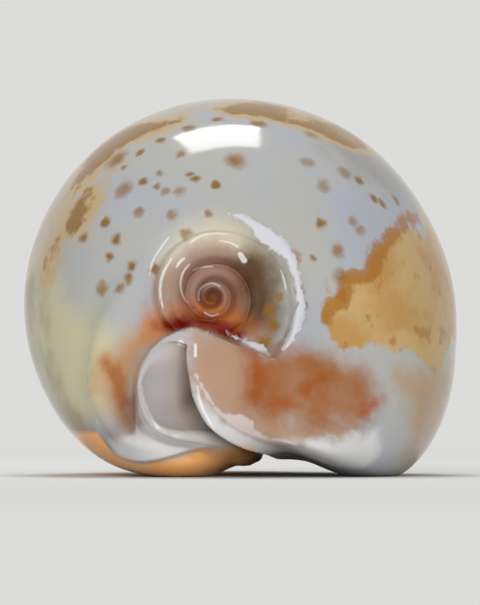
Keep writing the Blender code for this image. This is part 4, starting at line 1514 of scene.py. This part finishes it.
@dataclass(frozen=True)
class Porcelain:
    """Glossy shell surface: whites, tans, oranges and the pit's browns, by display value."""

    cool_white: Rgb = (157, 160, 168)
    warm_white: Rgb = (164, 163, 157)
    cream: Rgb = (192, 184, 142)
    # darker cream of the left rim, partly painted shade at the edge
    edge_cream_and_shade: Rgb = (126, 106, 56)
    shade: Rgb = (124, 122, 122)
    tan: Rgb = (174, 128, 58)
    tan_light: Rgb = (182, 150, 90)
    tan_dark: Rgb = (150, 92, 6)
    spot: Rgb = (126, 86, 0)
    orange: Rgb = (144, 84, 24)
    orange_dark: Rgb = (150, 70, 0)
    stain: Rgb = (176, 126, 66)
    glow: Rgb = (178, 100, 34)
    # deep red of the pit floor, darkened as painted shade where the dome hides it
    deep: Rgb = (108, 16, 0)
    mauve: Rgb = (146, 110, 94)
    brown: Rgb = (112, 60, 22)
    pit_cream: Rgb = (214, 204, 178)
    pit_grey: Rgb = (134, 124, 104)
    pit_tan: Rgb = (160, 134, 112)
    # olive tint darkened as painted shade for the pit's deep groove
    olive: Rgb = (70, 42, 2)
    callus: Rgb = (198, 197, 195)
    # painted highlight on the raised ribbons, upper tone
    ribbon: Rgb = (194, 194, 199)
    dish: Rgb = (170, 164, 165)
    pink: Rgb = (164, 131, 106)
    blush: Rgb = (168, 138, 104)
    apricot: Rgb = (236, 172, 100)
    inside: Rgb = (186, 179, 180)
    # browner chamber tone: partly the canal's own tint, partly painted shade under the outer lip
    inside_warm_and_shade: Rgb = (168, 147, 130)
    # painted highlight on the lower ribbons, pinker tone
    low_ribbon_and_highlight: Rgb = (192, 176, 172)
    glint: Rgb = (236, 233, 232)
    axis: Pair = (-4.17, 26.88)
    refraction: float = 1.4
    roughness: Pair = (0.06, 0.14)
    rough_noise: Pair = (90.0, 3.0)
    bump_scale: float = 240.0
    grain: float = 0.035
    crest: float = 0.05
    line_strength: float = 0.08
    spot_wobble: Tuple[float, float, float] = (700.0, 0.0014, 0.5)
    spot_edge: Pair = (-0.15, 0.75)
    spot_strength: Pair = (0.36, 0.6)
    freckle_wobble: Pair = (500.0, 0.0016)
    freckle_cells: float = 190.0
    freckle_size: Pair = (0.42, -0.14)
    freckle_edge: Pair = (-0.02, 0.08)
    mouth_edge: Pair = (-2.0, 4.0)
    ribbon_heights: Pair = (0.017, 0.021)
    # X range over which the chamber turns browner, partly as painted shade towards the outer lip
    warm_and_shade_side: Pair = (-0.0135, -0.0065)

    def dress(self, shell: bpy.types.Object, speckles: Speckles) -> None:
        """Give the shell its finish.

        Args:
            shell: The shell.
            speckles: Spots to paint.
        """
        material = bpy.data.materials.new("cowrie_porcelain")
        material.use_nodes = True
        bench = Bench(material.node_tree)
        whorls = bench.add("ShaderNodeGroup", node_tree=whorl_group(SpirePit(), self.axis)).outputs
        white = bench.layer(self.cool_white, self.warm_white, Mottle.CLOUDY.mask(bench))
        painter = Painter(bench, ragged_edge_group(), white)
        self.paint_back(painter)
        self.paint_spire_end(painter)
        beside_pit = painter.colour
        self.paint_pit(painter, whorls["Groove"])
        painter.cover("crown", beside_pit, EdgeKind.FINE)
        self.paint_spots(painter, speckles.centres(shell))
        self.paint_lips(painter)
        finish = bench.tree.nodes["Principled BSDF"].inputs
        bench.feed(finish["Base Color"], painter.colour)
        rough = bench.add("ShaderNodeMapRange")
        bench.feed_all(rough, bench.noise(*self.rough_noise).outputs["Fac"], 0.0, 1.0, *self.roughness)
        bench.feed(finish["Roughness"], rough.outputs["Result"])
        bench.feed(finish["IOR"], self.refraction)
        rise = bench.math("MULTIPLY", painter.mask("coils", EdgeKind.CLEAN, -0.5), self.crest)
        rise = bench.math("MULTIPLY", whorls["Crest"], rise)
        bump = bench.add("ShaderNodeBump")
        for name, value in (("Strength", 1.0), ("Distance", MILLIMETRE)):
            bench.feed(bump.inputs[name], value)
        height = bench.math("MULTIPLY_ADD", bench.noise(self.bump_scale).outputs["Fac"], self.grain, rise)
        bench.feed(bump.inputs["Height"], height)
        bench.feed(finish["Normal"], bump.outputs["Normal"])
        shell.data.materials.append(material)

    def paint_back(self, painter: Painter) -> None:
        """Paint the cream, the clouds and freckles of the back, and the broken band round the spire end.

        Args:
            painter: The shell's painter.
        """
        bench = painter.bench
        painter.cover("cream", self.cream, EdgeKind.MISTY, share=0.75)
        painter.cover("shade", self.shade, EdgeKind.MISTY, share=0.7)
        rear = painter.mask("rear", EdgeKind.MISTY)
        clouds = bench.math("MULTIPLY", Mottle.PATCHY.mask(bench), rear)
        freckles = bench.math("MULTIPLY", self.freckles(bench), rear)
        painter.lay(self.cream, rear, 0.5)
        # darker cream along the left rim: partly margin tone, partly painted shade at the edge
        painter.cover("rim_cream", self.edge_cream_and_shade, EdgeKind.MISTY, share=0.9)
        painter.cover("tan_band", self.tan_light, EdgeKind.SOFT, 1.6, 0.8)
        painter.cover("tan_band", self.spot, EdgeKind.TORN, 0.2, 0.9)
        painter.lay(self.tan, clouds, 0.85)
        painter.lay(self.spot, freckles, 0.7)

    def paint_spire_end(self, painter: Painter) -> None:
        """Paint the tan side, the stains, the orange dome and the painted shade in the hollow beside the
        canal.

        Args:
            painter: The shell's painter.
        """
        bench = painter.bench
        tan = bench.layer(self.tan, self.tan_light, Mottle.TAN.mask(bench))
        painter.cover("tan", tan, EdgeKind.TORN, -0.3, 0.92)
        painter.cover("tan_edge", self.tan_dark, EdgeKind.TORN, share=0.8)
        dark = bench.math("MULTIPLY", Mottle.DARK_TAN.mask(bench), painter.mask("tan", EdgeKind.SOFT, 0.6))
        painter.lay(self.tan_dark, dark, 0.6)
        painter.cover("blush", self.blush, EdgeKind.MISTY, share=0.9)
        painter.cover("stain", self.stain, EdgeKind.MISTY, share=0.85)
        painter.cover("streak", self.orange_dark, EdgeKind.SOFT, share=0.7)
        # painted shade: brown laid in the hollow left of the canal
        painter.cover("hollow", self.brown, EdgeKind.MISTY, 0.6, 0.7)
        blotchy = bench.math("MULTIPLY", Mottle.BLOTCHY.mask(bench), 0.35)
        orange = bench.layer(self.orange, self.pink, blotchy)
        painter.cover("dish", self.dish, EdgeKind.FINE)
        painter.cover("pink", self.pink, EdgeKind.MISTY, 1.0, 0.9)
        painter.cover("orange", orange, EdgeKind.MISTY, 0.4, 0.95)
        painter.cover("orange_spot", self.orange_dark, EdgeKind.SOFT, share=0.85)
        painter.cover("dome", self.pink, EdgeKind.SOFT, -0.3, 0.85)

    def paint_pit(self, painter: Painter, groove: Socket) -> None:
        """Paint the pit, with painted shade in its deep groove and along its dark red floor band.

        Args:
            painter: The shell's painter.
            groove: 1 on the line between the whorls.
        """
        painter.cover("pit", self.pit_grey, EdgeKind.MISTY, -1.5, 0.7)
        painter.cover("pit_top", self.pit_cream, EdgeKind.MISTY, 0.3, 0.65)
        painter.cover("pit_left", self.pit_tan, EdgeKind.MISTY, 0.4, 0.8)
        painter.cover("coils", self.mauve, EdgeKind.MISTY, 0.2, 0.9)
        painter.cover("pit_brown", self.brown, EdgeKind.MISTY, 0.2, 0.7)
        # painted shade: dark olive crescent in the deep groove at the pit's right
        painter.cover("olive", self.olive, EdgeKind.MISTY, 1.2, 0.92)
        line = painter.bench.math("MULTIPLY", groove, painter.mask("coils", EdgeKind.MISTY, -1.0))
        painter.lay(self.brown, line, self.line_strength)
        painter.cover("nucleus", self.brown, EdgeKind.SOFT, 0.4, 0.9)
        painter.cover("glow", self.glow, EdgeKind.MISTY, 1.0, 0.8)
        # deep red band and painted shade on the pit floor just above the dome
        painter.cover("deep", self.deep, EdgeKind.SOFT, 0.5)

    def paint_spots(self, painter: Painter, spots: Sequence[Tuple[Vector, float]]) -> None:
        """Paint the round spots of the spire end.

        Args:
            painter: The shell's painter.
            spots: Centre and size of each.
        """
        bench = painter.bench
        group, place = spot_group(), bench.wobble(*self.spot_wobble)
        depth: object = -1.0
        for centre, size in spots:
            node = bench.add("ShaderNodeGroup", node_tree=group)
            depth = bench.feed_all(node, depth, place, centre, size).outputs["Depth"]
        faint = bench.math("MULTIPLY_ADD", Mottle.FAINT.mask(bench), *self.spot_strength)
        painter.lay(self.spot, bench.math("MULTIPLY", bench.step(depth, *self.spot_edge), faint))

    def paint_lips(self, painter: Painter) -> None:
        """Paint the apricot base, callus, painted ribbon highlights, chamber with painted shade, and glints.

        Args:
            painter: The shell's painter.
        """
        bench = painter.bench
        painter.cover("apricot", self.apricot, EdgeKind.CLEAN)
        painter.cover("callus", self.callus, EdgeKind.SOFT, 0.3)
        place = bench.axes()
        high = bench.step(place["Z"], *self.ribbon_heights)
        # painted highlight: ragged white line along each raised ribbon, pinker lower down
        painter.cover("ribbon", bench.layer(self.low_ribbon_and_highlight, self.ribbon, high), EdgeKind.FRAYED)
        # browner towards the outer lip: partly the canal's own tint, partly painted shade where it runs
        # under the lip
        warm_and_shade = bench.step(place["X"], *self.warm_and_shade_side)
        within = bench.step(painter.depth("inside"), *self.mouth_edge)
        painter.lay(bench.layer(self.inside, self.inside_warm_and_shade, warm_and_shade), within)
        painter.cover("glint", self.glint, EdgeKind.FINE, share=0.6)

    def freckles(self, bench: Bench) -> Socket:
        """Scatter small freckles of many sizes.

        Args:
            bench: Bench of the material.

        Returns:
            1 on a freckle.
        """
        cells = bench.add("ShaderNodeTexVoronoi")
        bench.feed(cells.inputs["Vector"], bench.wobble(*self.freckle_wobble))
        bench.feed(cells.inputs["Scale"], self.freckle_cells)
        chance = bench.feed_all(bench.add("ShaderNodeSeparateColor"), cells.outputs["Color"]).outputs[0]
        size = bench.math("MULTIPLY_ADD", chance, *self.freckle_size)
        return bench.step(bench.math("SUBTRACT", size, cells.outputs["Distance"]), *self.freckle_edge)


@dataclass(frozen=True)
class Lamp:
    """Rectangular soft lamp. Places and sizes are metres."""

    name: str
    place: Tuple[float, ...]
    target: Tuple[float, ...]
    size: Pair
    watts: float
    glossy: bool = False

    def hang(self) -> None:
        """Add the lamp to the scene, facing its target."""
        data = bpy.data.lights.new(self.name, "AREA")
        data.shape = "RECTANGLE"
        data.size, data.size_y = self.size
        data.energy = self.watts
        lamp = bpy.data.objects.new(self.name, data)
        bpy.context.scene.collection.objects.link(lamp)
        lamp.location = self.place
        aim = Vector(self.target) - Vector(self.place)
        lamp.rotation_euler = aim.to_track_quat("-Z", "Y").to_euler()
        lamp.visible_glossy = self.glossy


@dataclass(frozen=True)
class Studio:
    """Pale floor, soft lamps, world and camera."""

    field_width: float = 0.0717
    distance: float = 2.2
    plane_y: float = -0.022
    centre_x: float = -0.00009
    centre_z: float = 0.02594
    sensor: float = 36.0
    pale: Rgb = (220, 220, 218)
    grain: Rgb = (213, 214, 215)
    world_light: float = 0.5
    world_tone: Tuple[float, ...] = (0.97, 0.985, 1.0, 1.0)
    floor_radius: float = 12.0
    floor_sides: int = 96
    floor_roughness: float = 0.9
    grain_strength: float = 0.15
    clip: Pair = (0.05, 30.0)
    fade: Pair = (0.05, 0.5)
    lamps: Tuple[Lamp, ...] = (
        Lamp("top_softbox", (-0.03, 0.19, 0.55), (0.0, -0.02, 0.03), (0.22, 0.21), 1.4, glossy=True),
        Lamp("low_fill", (0.7, -1.6, 0.06), (0.0, 0.0, 0.01), (1.0, 0.5), 15.0),
        Lamp("front_fill", (-0.5, -1.8, 0.5), (0.0, 0.0, 0.02), (1.2, 1.2), 20.0))

    def floor(self) -> None:
        """Make the round floor, which fades into plain pale paper away from the shell."""
        mesh = bmesh.new()
        bmesh.ops.create_circle(mesh, cap_ends=True, segments=self.floor_sides, radius=self.floor_radius)
        floor = finished("studio_floor", mesh)
        material = bpy.data.materials.new("pale_paper")
        material.use_nodes = True
        bench = Bench(material.node_tree)
        finish = bench.tree.nodes["Principled BSDF"]
        grain = bench.math("MULTIPLY", Mottle.PAPER.mask(bench), self.grain_strength)
        bench.feed(finish.inputs["Base Color"], bench.layer(self.pale, self.grain, grain))
        bench.feed(finish.inputs["Roughness"], self.floor_roughness)
        glow = bench.add("ShaderNodeEmission")
        bench.feed(glow.inputs["Color"], self.pale)
        far = bench.step(bench.vector("LENGTH", bench.place()).outputs["Value"], *self.fade)
        self.join(bench, "Material Output", bench.math("MULTIPLY", bench.seen(), far), finish, glow)
        floor.data.materials.append(material)

    def world(self) -> None:
        """Pale surroundings that light the shell at a plain level."""
        world = bpy.data.worlds.new("pale_room")
        bpy.context.scene.world = world
        world.use_nodes = True
        bench = Bench(world.node_tree)
        light = bench.tree.nodes["Background"]
        light.inputs["Color"].default_value = self.world_tone
        bench.feed(light.inputs["Strength"], self.world_light)
        shown = bench.feed_all(bench.add("ShaderNodeBackground"), self.pale, 1.0)
        self.join(bench, "World Output", bench.seen(), light, shown)

    def join(self, bench: Bench, end: str, share: Socket, first: bpy.types.Node,
             second: bpy.types.Node) -> None:
        """Mix two shaders and send the result to an output node.

        Args:
            bench: Bench of the tree.
            end: Name of the output node.
            share: Share of the second shader.
            first: The first shader.
            second: The second shader.
        """
        mix = bench.add("ShaderNodeMixShader")
        bench.feed_all(mix, share, first.outputs[0], second.outputs[0])
        bench.feed(bench.tree.nodes[end].inputs["Surface"], mix.outputs[0])

    def camera(self) -> None:
        """Level camera in front of the spire end."""
        data = bpy.data.cameras.new("camera")
        data.sensor_fit = "HORIZONTAL"
        data.sensor_width = self.sensor
        data.lens = self.sensor * self.distance / self.field_width
        data.clip_start, data.clip_end = self.clip
        camera = bpy.data.objects.new("camera", data)
        bpy.context.scene.collection.objects.link(camera)
        camera.location = (self.centre_x, self.plane_y - self.distance, self.centre_z)
        camera.rotation_euler = (np.pi / 2.0, 0.0, 0.0)
        bpy.context.scene.camera = camera

    def build(self) -> None:
        """Set up the whole studio."""
        self.floor()
        self.world()
        for lamp in self.lamps:
            lamp.hang()
        self.camera()
        bpy.context.scene.view_settings.view_transform = "Standard"
        log.info("studio is ready")


def main() -> None:
    """Build the shell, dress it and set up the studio."""
    shell = CowrieShell().build()
    Porcelain().dress(shell, Speckles())
    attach(shell, "root")
    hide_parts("shell")
    Studio().build()


if __name__ == "__main__":
    main()
